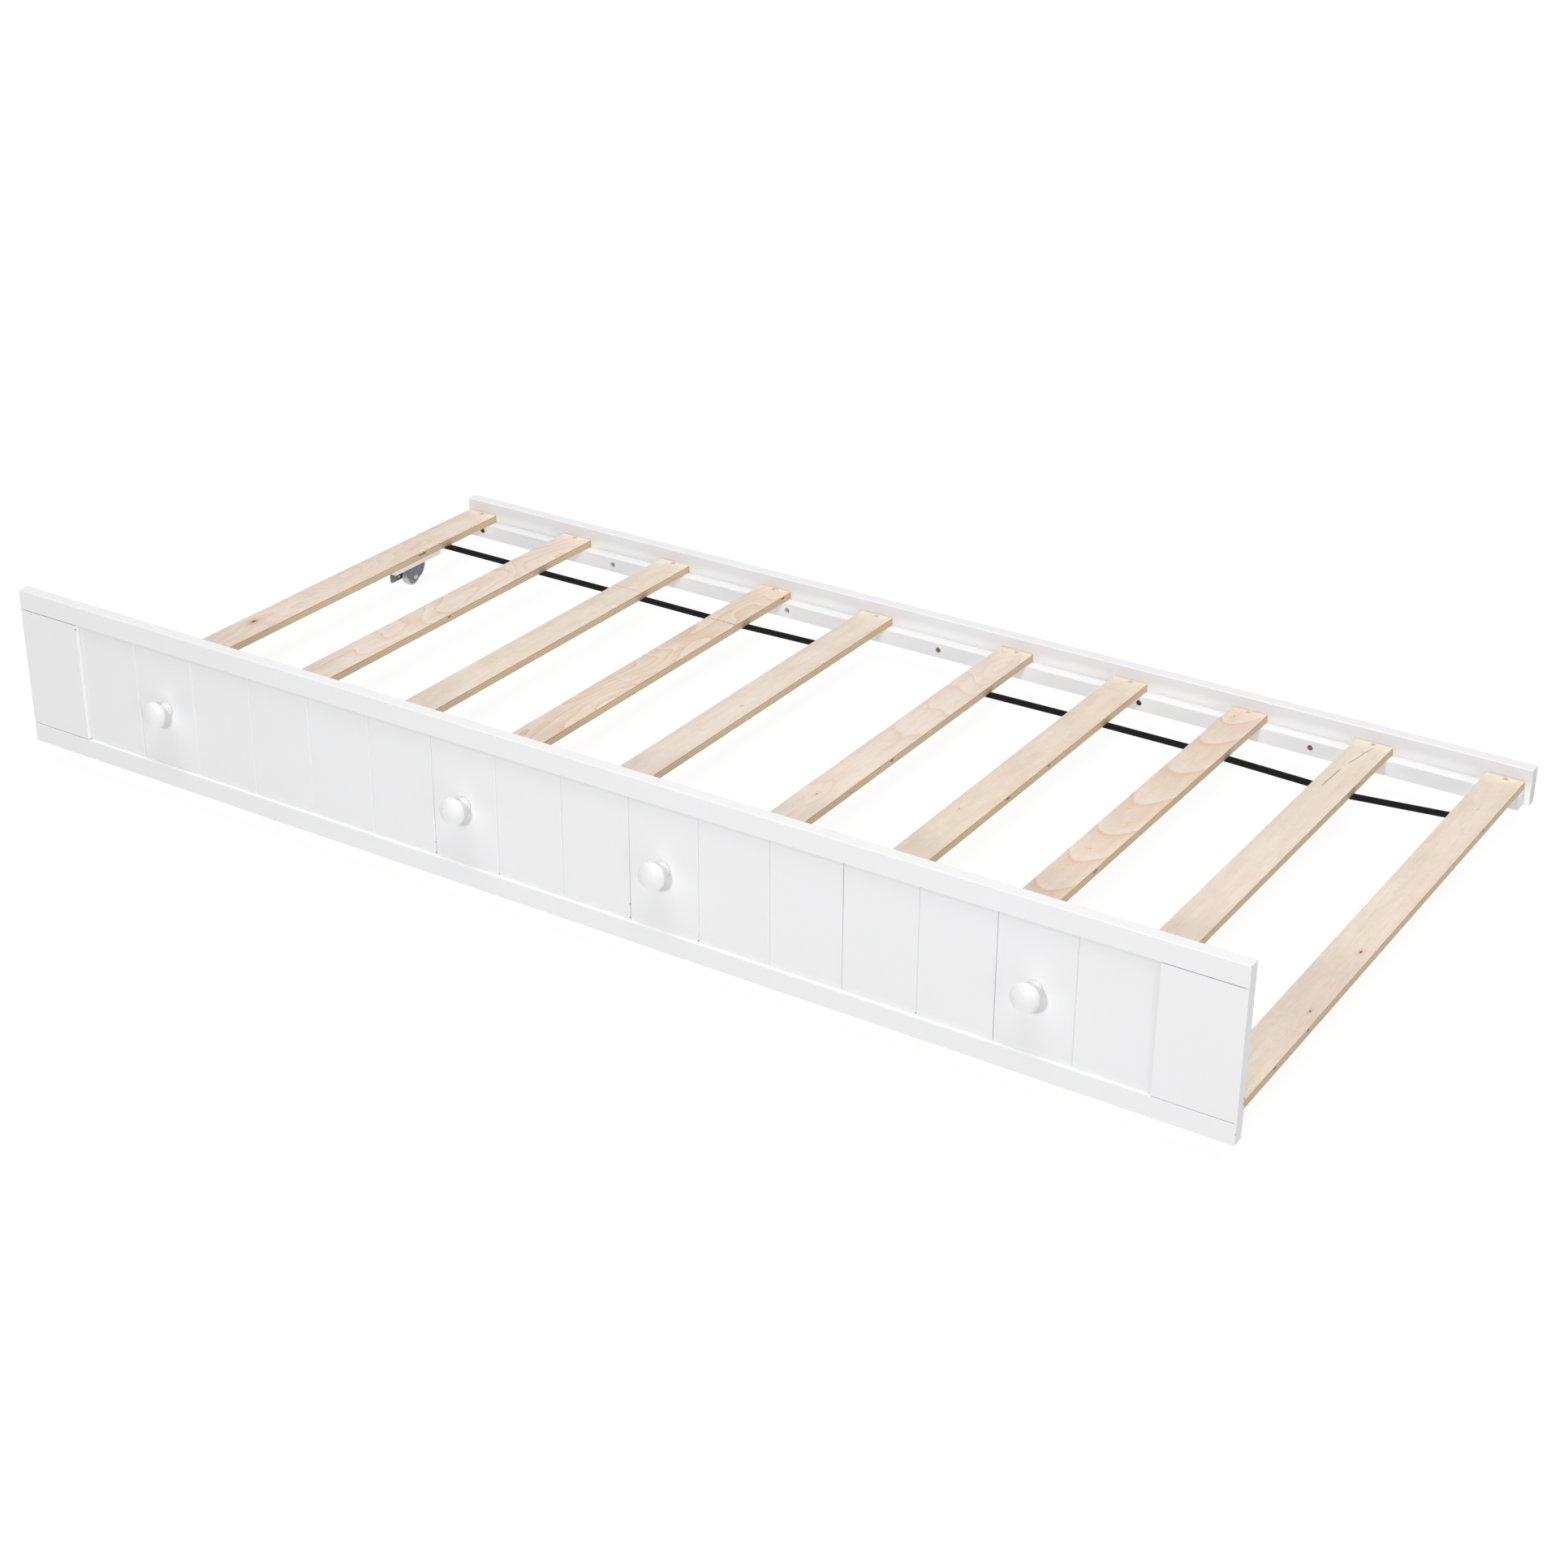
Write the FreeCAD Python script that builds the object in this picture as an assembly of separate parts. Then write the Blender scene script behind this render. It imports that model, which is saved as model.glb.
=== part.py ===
import FreeCAD, Part

import math
import os

# A low roll-out bed: a panelled front board with four turned knobs, a plain rear rail,
# two rolls of five plywood slats screwed to a cleat at each end, and four fixed casters.
# Millimetres. +X runs along the bed to the right as seen from the front, +Y runs from the
# front board to the rear rail, +Z is up. The origin is under the middle of the whole bed
# on the floor that the wheels stand on.

V = FreeCAD.Vector

# ---- driving dimensions -----------------------------------------------------------------
LENGTH = 1905.0            # front board and rear rail, 75 in
INNER_WIDTH = 990.0        # front board to rear rail, a 39 in mattress
PANEL_THICK = 18.0
PANEL_HEIGHT = 238.0
PANEL_LIFT = 38.0          # floor to the underside of the front board

RAIL_HEIGHT = 29.0         # top and bottom rail of the front board
STILE_WIDTH = 108.0
BOARD_COUNT = 16
BOARD_THICK = 8.0
BOARD_RECESS = 5.5         # rail face to board face
GROOVE_DEPTH = 8.0         # housing for the boards in the rails and stiles
GROOVE_STOP = 20.0         # the rails' grooves stop this far from their ends
TONGUE_THICK = 2.8
TONGUE_LENGTH = 5.0
TONGUE_CLEARANCE = 0.3
V_GROOVE = 1.5             # chamfer on each board's front edges
EASED_EDGE = 2.0           # rounding of the front board's long outer edges
STILE_EASING = 1.0
JOINT_GAP = 0.7            # open line between a stile's shoulder and a rail

KNOB_BOARDS = (2, 7, 10, 15)
KNOB_RADIUS = 19.2         # the knob's head is an oval bun
KNOB_HALF_DEPTH = 11.8
KNOB_SHOULDER = 8.0        # radius round its rim, between the two flatter caps
KNOB_CENTRE_OUT = 25.0     # board face to the middle of the head
KNOB_BASE_RADIUS = 11.5
KNOB_BEADS = 3             # turned beads between board and head
KNOB_BEAD_LENGTH = 4.8
KNOB_BEAD_CROWN = 0.7
KNOB_TAPER = 0.35          # each bead is smaller than the last by this much

REAR_RAIL_HEIGHT = 57.0
REAR_RAIL_THICK = 20.0
REAR_RAIL_DROP = 3.0       # rear rail's underside below the front board's
REAR_RAIL_EASING = 1.5

CLEAT_DEPTH = 23.0
CLEAT_HEIGHT = 24.3
CLEAT_DROP = 2.0
CLEAT_END_GAP = 8.5
CLEAT_SCREWS_FROM_LEFT = (47.0, 323.0, 670.0, 952.0, 1302.0, 1580.0, 1858.0)
COUNTERBORE_RADIUS = 4.4
COUNTERBORE_DEPTH = 8.0
CLEAT_SCREW_RISE = 1.0     # screws above the middle of the cleat's height

SLAT_LEFTS = (4.0, 206.0, 408.0, 607.0, 799.0, 1052.0, 1248.0, 1445.0, 1642.0, 1839.0)
SLAT_WIDTH = 56.0
SLAT_THICK = 12.5
SLAT_END_GAP = 0.5
SLAT_CORNER = 2.0
SLAT_EASING = 0.6
SLATS_PER_ROLL = 5
SLAT_SCREW_INSET = 8.5     # slat screw from the face that the slat's end meets
# The holes are drilled by hand: each slat's screw is this far right of the slat's middle.
SLAT_SCREW_SHIFTS = (3.0, 0.0, 0.0, 0.0, 3.0, 3.0, 3.0, 0.0, 0.0, 3.0)

STRAP_WIDTH = 20.0
STRAP_THICK = 1.4
# The straps are stapled on by eye. For each slat of a roll: the strap's centre line from the
# front board or rear rail, at the slat's left and right edges.
STRAP_INSETS = (
    ((133.2, 133.2), (133.3, 136.0), (135.6, 133.5), (134.7, 133.4), (127.0, 127.0)),
    ((142.6, 142.6), (139.4, 139.8), (139.4, 143.2), (150.2, 154.8), (132.6, 132.6)),
)
STRAP_END_INSET = 8.0

BLOCK_WIDTH = 23.0
BLOCK_LENGTH = 117.0
BLOCK_INSET = 6.0          # block's side from the slat's left edge
BLOCK_OUTER_GAP = 120.5    # block's outer end from the front board or rear rail
BLOCK_EASING = 0.8
BLOCK_SCREW_INSETS = (10.0, 84.0)   # from the block's inner end
STRAP_RELIEF_DEPTH = 2.0   # notch that lets a strap pass between slat and block
STRAP_RELIEF_SLACK = 1.0

WHEEL_RADIUS = 16.0
WHEEL_WIDTH = 13.0
TREAD_EASING = 2.0
RIM_THICK = 4.0
DISH_DEPTH = 1.5           # web set back from the rim on each side
HUB_WIDTH = 16.0
HUB_RADIUS = 6.0
AXLE_RADIUS = 2.5
AXLE_CLEARANCE = 0.05
RIVET_RADIUS = 4.4
RIVET_TOP_RADIUS = 2.8
RIVET_HEIGHT = 1.4
AXLE_INSET = 184.5         # axle from the front board or rear rail
WHEEL_CENTRE_FROM_PLATE = 9.0
BRACKET_THICK = 2.0
CHEEK_RADIUS = 25.5
CHEEK_FROM_PLATE = 20.0    # outer face of the cheek from the block's side
PLATE_LENGTH = 80.0
PLATE_CORNER = 4.0
PLATE_SCREW_INSET = 16.0   # from each end of the plate
PLATE_SCREW_RISE = 11.0    # above the block's underside
SPARE_HOLE_RADIUS = 2.2
SPARE_HOLE_SPREAD = 18.5   # from the axle, each way
SPARE_HOLE_RISE = 5.0      # above the plate's lower edge
PLATE_RISE = 18.0          # plate above the block's underside
PLATE_DROP = 24.0          # plate below the block's underside
BRIDGE_LENGTH = 46.0

SCREW_RADIUS = 2.0
SCREW_TIP_RADIUS = 0.4
SCREW_TIP_LENGTH = 5.0
HEAD_RADIUS = 4.0
HEAD_HEIGHT = 2.6
HEAD_CROWN = 1.2           # rounding of a pan head
THROUGH = 1.0              # cutters stand this far out of what they cut
SLAT_SCREW_LENGTH = 30.0
CLEAT_SCREW_LENGTH = 25.0
BLOCK_SCREW_LENGTH = 32.0
BRACKET_SCREW_LENGTH = 14.0
STAPLE_CROWN = 10.0
STAPLE_LEG = 6.0
STAPLE_WIRE = 1.0

TINY = 1e-6

# ---- places worked out from them --------------------------------------------------------
KNOB_REACH = KNOB_CENTRE_OUT + KNOB_HALF_DEPTH
KNOB_FLAT = KNOB_RADIUS - KNOB_SHOULDER
# The radius that makes each cap run smoothly into the shoulder.
KNOB_CAP = (KNOB_FLAT ** 2 + KNOB_HALF_DEPTH ** 2 - KNOB_SHOULDER ** 2) / (
    2 * (KNOB_HALF_DEPTH - KNOB_SHOULDER))
KNOB_PROUD = KNOB_REACH - BOARD_RECESS
DEPTH = KNOB_PROUD + PANEL_THICK + INNER_WIDTH + REAR_RAIL_THICK
LEFT = -LENGTH / 2
PANEL_FACE = -DEPTH / 2 + KNOB_PROUD
PANEL_BACK = PANEL_FACE + PANEL_THICK
REAR_FACE = PANEL_BACK + INNER_WIDTH
MIDDLE_Y = (PANEL_BACK + REAR_FACE) / 2
PANEL_BOTTOM = PANEL_LIFT
PANEL_TOP = PANEL_BOTTOM + PANEL_HEIGHT
STILE_BOTTOM = PANEL_BOTTOM + RAIL_HEIGHT
STILE_TOP = PANEL_TOP - RAIL_HEIGHT
CLEAT_BOTTOM = PANEL_BOTTOM - CLEAT_DROP
CLEAT_TOP = CLEAT_BOTTOM + CLEAT_HEIGHT
SLAT_BOTTOM = CLEAT_TOP
SLAT_TOP = SLAT_BOTTOM + SLAT_THICK
BLOCK_BOTTOM = CLEAT_BOTTOM
AXLE_HEIGHT = WHEEL_RADIUS
BOARD_PITCH = (LENGTH - 2 * STILE_WIDTH) / BOARD_COUNT
BOARD_FACE = PANEL_FACE + BOARD_RECESS
BOARD_BACK = BOARD_FACE + BOARD_THICK
KNOB_HEIGHT = PANEL_BOTTOM + PANEL_HEIGHT / 2


# ---- small helpers ----------------------------------------------------------------------
def box(x0, x1, y0, y1, z0, z1):
    return Part.makeBox(x1 - x0, y1 - y0, z1 - z0, V(x0, y0, z0))


def rod(radius, start, end):
    run = end - start
    return Part.makeCylinder(radius, run.Length, start, run)


def prism(points, direction):
    """A straight extrusion of a closed polygon."""
    return Part.Face(Part.makePolygon(points + [points[0]])).extrude(direction)


def along(edge, axis):
    """True for a straight edge that runs along the axis."""
    if len(edge.Vertexes) < 2:
        return False
    run = edge.Vertexes[1].Point - edge.Vertexes[0].Point
    return run.Length > TINY and run.cross(axis).Length < TINY * run.Length


def eased(solid, radius, axis):
    """Round a box's edges that run along the axis."""
    return solid.makeFillet(radius, [edge for edge in solid.Edges if along(edge, axis)])


def eased_where(solid, radius, axis, name, value):
    """Round a box's edges along the axis that lie at one value of x, y or z."""
    chosen = [
        edge for edge in solid.Edges
        if along(edge, axis) and abs(getattr(edge.Vertexes[0].Point, name) - value) < TINY
    ]
    return solid.makeFillet(radius, chosen)


def mirrored_in_y(shape):
    """The same piece at the front, mirrored about the middle of the slats."""
    return shape.mirror(V(0, MIDDLE_Y, 0), V(0, 1, 0))


def circles(solid):
    return [edge for edge in solid.Edges if edge.Curve.TypeId == "Part::GeomCircle"]


def countersunk_screw(tip, head):
    """A screw whose flat head ends at the point head."""
    unit = (head - tip).normalize()
    cone_start = head - unit * HEAD_HEIGHT
    cone = Part.makeCone(SCREW_RADIUS, HEAD_RADIUS, HEAD_HEIGHT, cone_start, unit)
    shank = rod(SCREW_RADIUS, tip + unit * SCREW_TIP_LENGTH, cone_start)
    point = Part.makeCone(SCREW_TIP_RADIUS, SCREW_RADIUS, SCREW_TIP_LENGTH, tip, unit)
    return shank.fuse([cone, point]).removeSplitter()


def pan_screw(tip, seat):
    """A screw whose domed head sits on the point seat."""
    unit = (seat - tip).normalize()
    shank = rod(SCREW_RADIUS, tip, seat)
    head = Part.makeCylinder(HEAD_RADIUS, HEAD_HEIGHT, seat, unit)
    top = [edge for edge in circles(head) if (edge.Curve.Center - seat).Length > HEAD_HEIGHT / 2]
    head = head.makeFillet(HEAD_CROWN, top)
    return shank.fuse(head).removeSplitter()


# ---- front board ------------------------------------------------------------------------
def front_rail(bottom, grooved_up):
    """A full-length rail with a stopped groove along its inner edge."""
    top = bottom + RAIL_HEIGHT
    rail = box(LEFT, -LEFT, PANEL_FACE, PANEL_BACK, bottom, top)
    rail = eased_where(rail, EASED_EDGE, V(1, 0, 0), "z", bottom if grooved_up else top)
    low = top - GROOVE_DEPTH if grooved_up else bottom
    x0 = LEFT + GROOVE_STOP
    groove = box(x0, -x0, BOARD_FACE, BOARD_BACK, low, low + GROOVE_DEPTH)
    return rail.cut(groove)


def front_stile(x_outer, inward):
    """A stile between the rails, with a stub tenon in each and a groove for the boards."""
    x_inner = x_outer + inward * STILE_WIDTH
    x0, x1 = sorted((x_outer, x_inner))
    stile = box(x0, x1, PANEL_FACE, PANEL_BACK, STILE_BOTTOM + JOINT_GAP, STILE_TOP - JOINT_GAP)
    stile = eased_where(stile, STILE_EASING, V(0, 0, 1), "x", x_outer)
    groove_start = x_inner - inward * GROOVE_DEPTH
    g0, g1 = sorted((groove_start, x_inner))
    groove = box(g0, g1, BOARD_FACE, BOARD_BACK, STILE_BOTTOM, STILE_TOP)
    t0, t1 = sorted((x_outer + inward * GROOVE_STOP, groove_start))
    low, high = STILE_BOTTOM - GROOVE_DEPTH, STILE_TOP + GROOVE_DEPTH
    tenon = box(t0, t1, BOARD_FACE, BOARD_BACK, low, high)
    return stile.cut(groove).fuse(tenon).removeSplitter()


def board_left(number):
    return LEFT + STILE_WIDTH + (number - 1) * BOARD_PITCH


def panel_board(number):
    """One upright tongue-and-groove board, housed in the rails at its ends."""
    x0, x1 = board_left(number), board_left(number + 1)
    mid = (BOARD_FACE + BOARD_BACK) / 2
    half = TONGUE_THICK / 2
    slack = TONGUE_CLEARANCE
    low, high = STILE_BOTTOM - GROOVE_DEPTH, STILE_TOP + GROOVE_DEPTH
    if number == 1:
        left_side = [(x0 - GROOVE_DEPTH, BOARD_BACK), (x0 - GROOVE_DEPTH, BOARD_FACE)]
    else:
        deep = x0 + TONGUE_LENGTH + slack
        left_side = [
            (x0, BOARD_BACK), (x0, mid + half + slack), (deep, mid + half + slack),
            (deep, mid - half - slack), (x0, mid - half - slack),
            (x0, BOARD_FACE + V_GROOVE), (x0 + V_GROOVE, BOARD_FACE),
        ]
    if number == BOARD_COUNT:
        right_side = [(x1 + GROOVE_DEPTH, BOARD_FACE), (x1 + GROOVE_DEPTH, BOARD_BACK)]
    else:
        tip = x1 + TONGUE_LENGTH
        right_side = [
            (x1 - V_GROOVE, BOARD_FACE), (x1, BOARD_FACE + V_GROOVE), (x1, mid - half),
            (tip, mid - half), (tip, mid + half), (x1, mid + half), (x1, BOARD_BACK),
        ]
    outline = [V(x, y, low) for x, y in left_side + right_side]
    board = prism(outline, V(0, 0, high - low))
    if number in KNOB_BOARDS:
        x = (x0 + x1) / 2
        board = board.cut(rod(SCREW_RADIUS, V(x, BOARD_FACE - THROUGH, KNOB_HEIGHT),
                              V(x, BOARD_BACK + THROUGH, KNOB_HEIGHT)))
    return board


def on_cap(radius, side):
    """The point of the knob's section at this radius, on its front (1) or back (-1) cap."""
    rise = math.sqrt(KNOB_CAP ** 2 - radius ** 2) - KNOB_CAP + KNOB_HALF_DEPTH
    return V(radius, 0, KNOB_CENTRE_OUT + side * rise)


def knob_profile():
    """Half of the knob's section: a flat back, three beads and a bun-shaped head."""
    edges = []
    start = V(0, 0, 0)
    for bead in range(KNOB_BEADS):
        crown = KNOB_BASE_RADIUS - bead * KNOB_TAPER
        root = crown - KNOB_BEAD_CROWN
        low = bead * KNOB_BEAD_LENGTH
        high = low + KNOB_BEAD_LENGTH
        edges.append(Part.LineSegment(start, V(root, 0, low)).toShape())
        edges.append(Part.Arc(V(root, 0, low), V(crown, 0, (low + high) / 2),
                              V(root, 0, high)).toShape())
        start = V(root, 0, high)
    neck = start.x - KNOB_TAPER
    rim = KNOB_FLAT * (1 + KNOB_SHOULDER / (KNOB_CAP - KNOB_SHOULDER))
    tip = V(0, 0, KNOB_REACH)
    edges.append(Part.LineSegment(start, on_cap(neck, -1)).toShape())
    edges.append(Part.Arc(on_cap(neck, -1), on_cap((neck + rim) / 2, -1), on_cap(rim, -1)).toShape())
    edges.append(Part.Arc(on_cap(rim, -1), V(KNOB_RADIUS, 0, KNOB_CENTRE_OUT),
                          on_cap(rim, 1)).toShape())
    edges.append(Part.Arc(on_cap(rim, 1), on_cap(rim / 2, 1), tip).toShape())
    edges.append(Part.LineSegment(tip, V(0, 0, 0)).toShape())
    return Part.Wire(edges)


def knob(number):
    """A turned knob, bored from behind for its screw."""
    turned = Part.Face(knob_profile()).revolve(V(0, 0, 0), V(0, 0, 1), 360)
    turned.rotate(V(0, 0, 0), V(1, 0, 0), 90)
    x = knob_x(number)
    turned.translate(V(x, BOARD_FACE, KNOB_HEIGHT))
    pilot = rod(SCREW_RADIUS, V(x, BOARD_FACE + THROUGH, KNOB_HEIGHT),
                V(x, BOARD_FACE - KNOB_REACH / 2, KNOB_HEIGHT))
    return turned.cut(pilot)


def knob_x(number):
    return board_left(number) + BOARD_PITCH / 2


def knob_screw(number):
    x = knob_x(number)
    tip = V(x, BOARD_FACE - KNOB_REACH / 2, KNOB_HEIGHT)
    return pan_screw(tip, V(x, BOARD_BACK, KNOB_HEIGHT))


# ---- rear rail and cleats ---------------------------------------------------------------
def rear_rail():
    bottom = PANEL_BOTTOM - REAR_RAIL_DROP
    rail = box(LEFT, -LEFT, REAR_FACE, REAR_FACE + REAR_RAIL_THICK,
               bottom, bottom + REAR_RAIL_HEIGHT)
    rail = eased(rail, REAR_RAIL_EASING, V(1, 0, 0))
    for x in cleat_screw_places():
        rail = rail.cut(cleat_screw_bore(x))
    return rail


def cleat_screw_places():
    return [LEFT + distance for distance in CLEAT_SCREWS_FROM_LEFT]


def cleat_screw_height():
    return CLEAT_BOTTOM + CLEAT_HEIGHT / 2 + CLEAT_SCREW_RISE


def cleat_screw_points(x):
    """Tip, and the seat at the bottom of the cleat's counterbore."""
    seat = REAR_FACE - CLEAT_DEPTH + COUNTERBORE_DEPTH
    z = cleat_screw_height()
    return V(x, seat + CLEAT_SCREW_LENGTH, z), V(x, seat, z)


def cleat_screw_bore(x):
    tip, seat = cleat_screw_points(x)
    return rod(SCREW_RADIUS, seat, tip)


def rear_cleat():
    """The batten that carries the slats' ends, with a counterbore for each screw."""
    y0 = REAR_FACE - CLEAT_DEPTH
    x0 = LEFT + CLEAT_END_GAP
    cleat = box(x0, -x0, y0, REAR_FACE, CLEAT_BOTTOM, CLEAT_TOP)
    for x in cleat_screw_places():
        tip, seat = cleat_screw_points(x)
        cleat = cleat.cut(rod(COUNTERBORE_RADIUS, V(x, y0 - THROUGH, seat.z), seat))
        cleat = cleat.cut(rod(SCREW_RADIUS, seat, tip))
    for index in range(len(SLAT_LEFTS)):
        cleat = cleat.cut(slat_screw(index))
    return cleat


def rear_cleat_screws():
    return [pan_screw(*cleat_screw_points(x)) for x in cleat_screw_places()]


# ---- slats and their screws -------------------------------------------------------------
def slat_lefts():
    return [LEFT + distance for distance in SLAT_LEFTS]


def slat_screw(index):
    """The screw at the slat's rear end."""
    x = slat_lefts()[index] + SLAT_WIDTH / 2 + SLAT_SCREW_SHIFTS[index]
    y = REAR_FACE - SLAT_SCREW_INSET
    return countersunk_screw(V(x, y, SLAT_TOP - SLAT_SCREW_LENGTH), V(x, y, SLAT_TOP))


def slat(index, block=None):
    """One slat, bored for its end screws and, where it carries casters, for their blocks'."""
    left = slat_lefts()[index]
    y0, y1 = PANEL_BACK + SLAT_END_GAP, REAR_FACE - SLAT_END_GAP
    body = box(left, left + SLAT_WIDTH, y0, y1, SLAT_BOTTOM, SLAT_TOP)
    body = eased(body, SLAT_CORNER, V(0, 0, 1))
    body = eased_where(body, SLAT_EASING, V(0, 1, 0), "z", SLAT_TOP)
    screw = slat_screw(index)
    body = body.cut(screw).cut(mirrored_in_y(screw))
    if block is not None:
        for bolt in block_screws(block):
            body = body.cut(bolt).cut(mirrored_in_y(bolt))
    return body


# ---- webbing straps ---------------------------------------------------------------------
def strap_stations(roll):
    """Where the strap meets each slat of the roll: left x and y, then right x and y."""
    first = roll * SLATS_PER_ROLL
    lefts = slat_lefts()[first:first + SLATS_PER_ROLL]
    starts = list(lefts)
    ends = [left + SLAT_WIDTH for left in lefts]
    starts[0] += BLOCK_INSET + BLOCK_WIDTH + STRAP_RELIEF_SLACK if roll == 0 else STRAP_END_INSET
    ends[-1] -= STRAP_END_INSET
    return [
        (start, REAR_FACE - insets[0], end, REAR_FACE - insets[1])
        for start, end, insets in zip(starts, ends, STRAP_INSETS[roll])
    ]


def strap(roll):
    """Flat webbing pulled tight under the roll's five slats."""
    line = []
    for x0, y0, x1, y1 in strap_stations(roll):
        line += [(x0, y0), (x1, y1)]
    half = STRAP_WIDTH / 2
    level = SLAT_BOTTOM - STRAP_THICK
    near = [V(x, y - half, level) for x, y in line]
    far = [V(x, y + half, level) for x, y in reversed(line)]
    return prism(near + far, V(0, 0, STRAP_THICK))


def staple(x, y):
    """A wire staple through the strap into the slat above."""
    half = STAPLE_WIRE / 2
    under = SLAT_BOTTOM - STRAP_THICK - STAPLE_WIRE
    top = SLAT_BOTTOM + STAPLE_LEG
    crown = box(x - half, x + half, y - STAPLE_CROWN / 2, y + STAPLE_CROWN / 2,
                under, under + STAPLE_WIRE)
    y0, y1 = y - STAPLE_CROWN / 2, y + STAPLE_CROWN / 2
    legs = [
        box(x - half, x + half, y0, y0 + STAPLE_WIRE, under, top),
        box(x - half, x + half, y1 - STAPLE_WIRE, y1, under, top),
    ]
    return crown.fuse(legs).removeSplitter()


def rear_staples():
    """One staple in the middle of the strap's contact with each slat, clear of the block."""
    found = []
    for roll in (0, 1):
        for x0, y0, x1, y1 in strap_stations(roll):
            found.append(staple((x0 + x1) / 2, (y0 + y1) / 2))
    x0, y0, x1, y1 = strap_stations(1)[-1]
    found[-1] = staple(x1 - STRAP_END_INSET, y1)
    return found


# ---- casters ----------------------------------------------------------------------------
def left_block_x():
    return slat_lefts()[0] + BLOCK_INSET


def right_block_x():
    return slat_lefts()[-1] + BLOCK_INSET


def block_y():
    outer = REAR_FACE - BLOCK_OUTER_GAP
    return outer - BLOCK_LENGTH, outer


def block_screws(x0):
    """The two screws that hold a rear block up to its slat."""
    y0 = block_y()[0]
    x = x0 + BLOCK_WIDTH / 2
    head = BLOCK_BOTTOM
    return [
        countersunk_screw(V(x, y0 + inset, head + BLOCK_SCREW_LENGTH), V(x, y0 + inset, head))
        for inset in BLOCK_SCREW_INSETS
    ]


def bracket_screw_places():
    y = REAR_FACE - AXLE_INSET
    spread = PLATE_LENGTH / 2 - PLATE_SCREW_INSET
    z = BLOCK_BOTTOM + PLATE_SCREW_RISE
    return [(y - spread, z), (y + spread, z)]


def bracket_screws():
    """Screws through the rear-left bracket's plate into its block."""
    side = left_block_x()
    found = []
    for y, z in bracket_screw_places():
        tip = V(side + BRACKET_SCREW_LENGTH, y, z)
        found.append(pan_screw(tip, V(side - BRACKET_THICK, y, z)))
    return found


def block(x0, with_relief):
    """The softwood block between a slat and its caster."""
    y0, y1 = block_y()
    body = box(x0, x0 + BLOCK_WIDTH, y0, y1, BLOCK_BOTTOM, SLAT_BOTTOM)
    body = eased(body, BLOCK_EASING, V(0, 1, 0))
    for screw in block_screws(x0):
        body = body.cut(screw)
    if with_relief:
        y = strap_stations(1)[-1][1]
        half = STRAP_WIDTH / 2 + STRAP_RELIEF_SLACK
        body = body.cut(box(x0, x0 + BLOCK_WIDTH, y - half, y + half,
                            SLAT_BOTTOM - STRAP_RELIEF_DEPTH, SLAT_BOTTOM))
    return body


def bracket():
    """Pressed-steel bracket of the rear-left caster: side plate, bridge and round cheek."""
    side = left_block_x()
    y = REAR_FACE - AXLE_INSET
    thick = BRACKET_THICK
    low, high = BLOCK_BOTTOM - PLATE_DROP, BLOCK_BOTTOM + PLATE_RISE
    plate = box(side - thick, side, y - PLATE_LENGTH / 2, y + PLATE_LENGTH / 2, low, high)
    plate = eased(plate, PLATE_CORNER, V(1, 0, 0))
    cheek_x = side + CHEEK_FROM_PLATE
    bridge = box(side - thick, cheek_x, y - BRIDGE_LENGTH / 2, y + BRIDGE_LENGTH / 2,
                 BLOCK_BOTTOM - thick, BLOCK_BOTTOM)
    disc = rod(CHEEK_RADIUS, V(cheek_x - thick, y, BLOCK_BOTTOM), V(cheek_x, y, BLOCK_BOTTOM))
    upper = box(side, cheek_x + thick, y - CHEEK_RADIUS, y + CHEEK_RADIUS,
                BLOCK_BOTTOM, BLOCK_BOTTOM + CHEEK_RADIUS)
    body = plate.fuse([bridge, disc.cut(upper)]).removeSplitter()
    outside = side - thick - THROUGH
    body = body.cut(rod(AXLE_RADIUS, V(outside, y, AXLE_HEIGHT),
                        V(cheek_x + THROUGH, y, AXLE_HEIGHT)))
    for spare in (y - SPARE_HOLE_SPREAD, y + SPARE_HOLE_SPREAD):
        z = low + SPARE_HOLE_RISE
        body = body.cut(rod(SPARE_HOLE_RADIUS, V(outside, spare, z), V(side + THROUGH, spare, z)))
    for screw in bracket_screws():
        body = body.cut(screw)
    return body


def wheel():
    """Rear-left wheel: a rounded tread on a dished web with a longer hub."""
    y = REAR_FACE - AXLE_INSET
    x = left_block_x() + WHEEL_CENTRE_FROM_PLATE
    half = WHEEL_WIDTH / 2
    tread = rod(WHEEL_RADIUS, V(x - half, y, AXLE_HEIGHT), V(x + half, y, AXLE_HEIGHT))
    tread = tread.makeFillet(TREAD_EASING, circles(tread))
    for sign in (-1, 1):
        outer = V(x + sign * half, y, AXLE_HEIGHT)
        inner = V(x + sign * (half - DISH_DEPTH), y, AXLE_HEIGHT)
        tread = tread.cut(rod(WHEEL_RADIUS - RIM_THICK, inner, outer))
    hub = rod(HUB_RADIUS, V(x - HUB_WIDTH / 2, y, AXLE_HEIGHT),
              V(x + HUB_WIDTH / 2, y, AXLE_HEIGHT))
    bore = rod(AXLE_RADIUS + AXLE_CLEARANCE, V(x - HUB_WIDTH, y, AXLE_HEIGHT),
               V(x + HUB_WIDTH, y, AXLE_HEIGHT))
    return tread.fuse(hub).removeSplitter().cut(bore)


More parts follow.
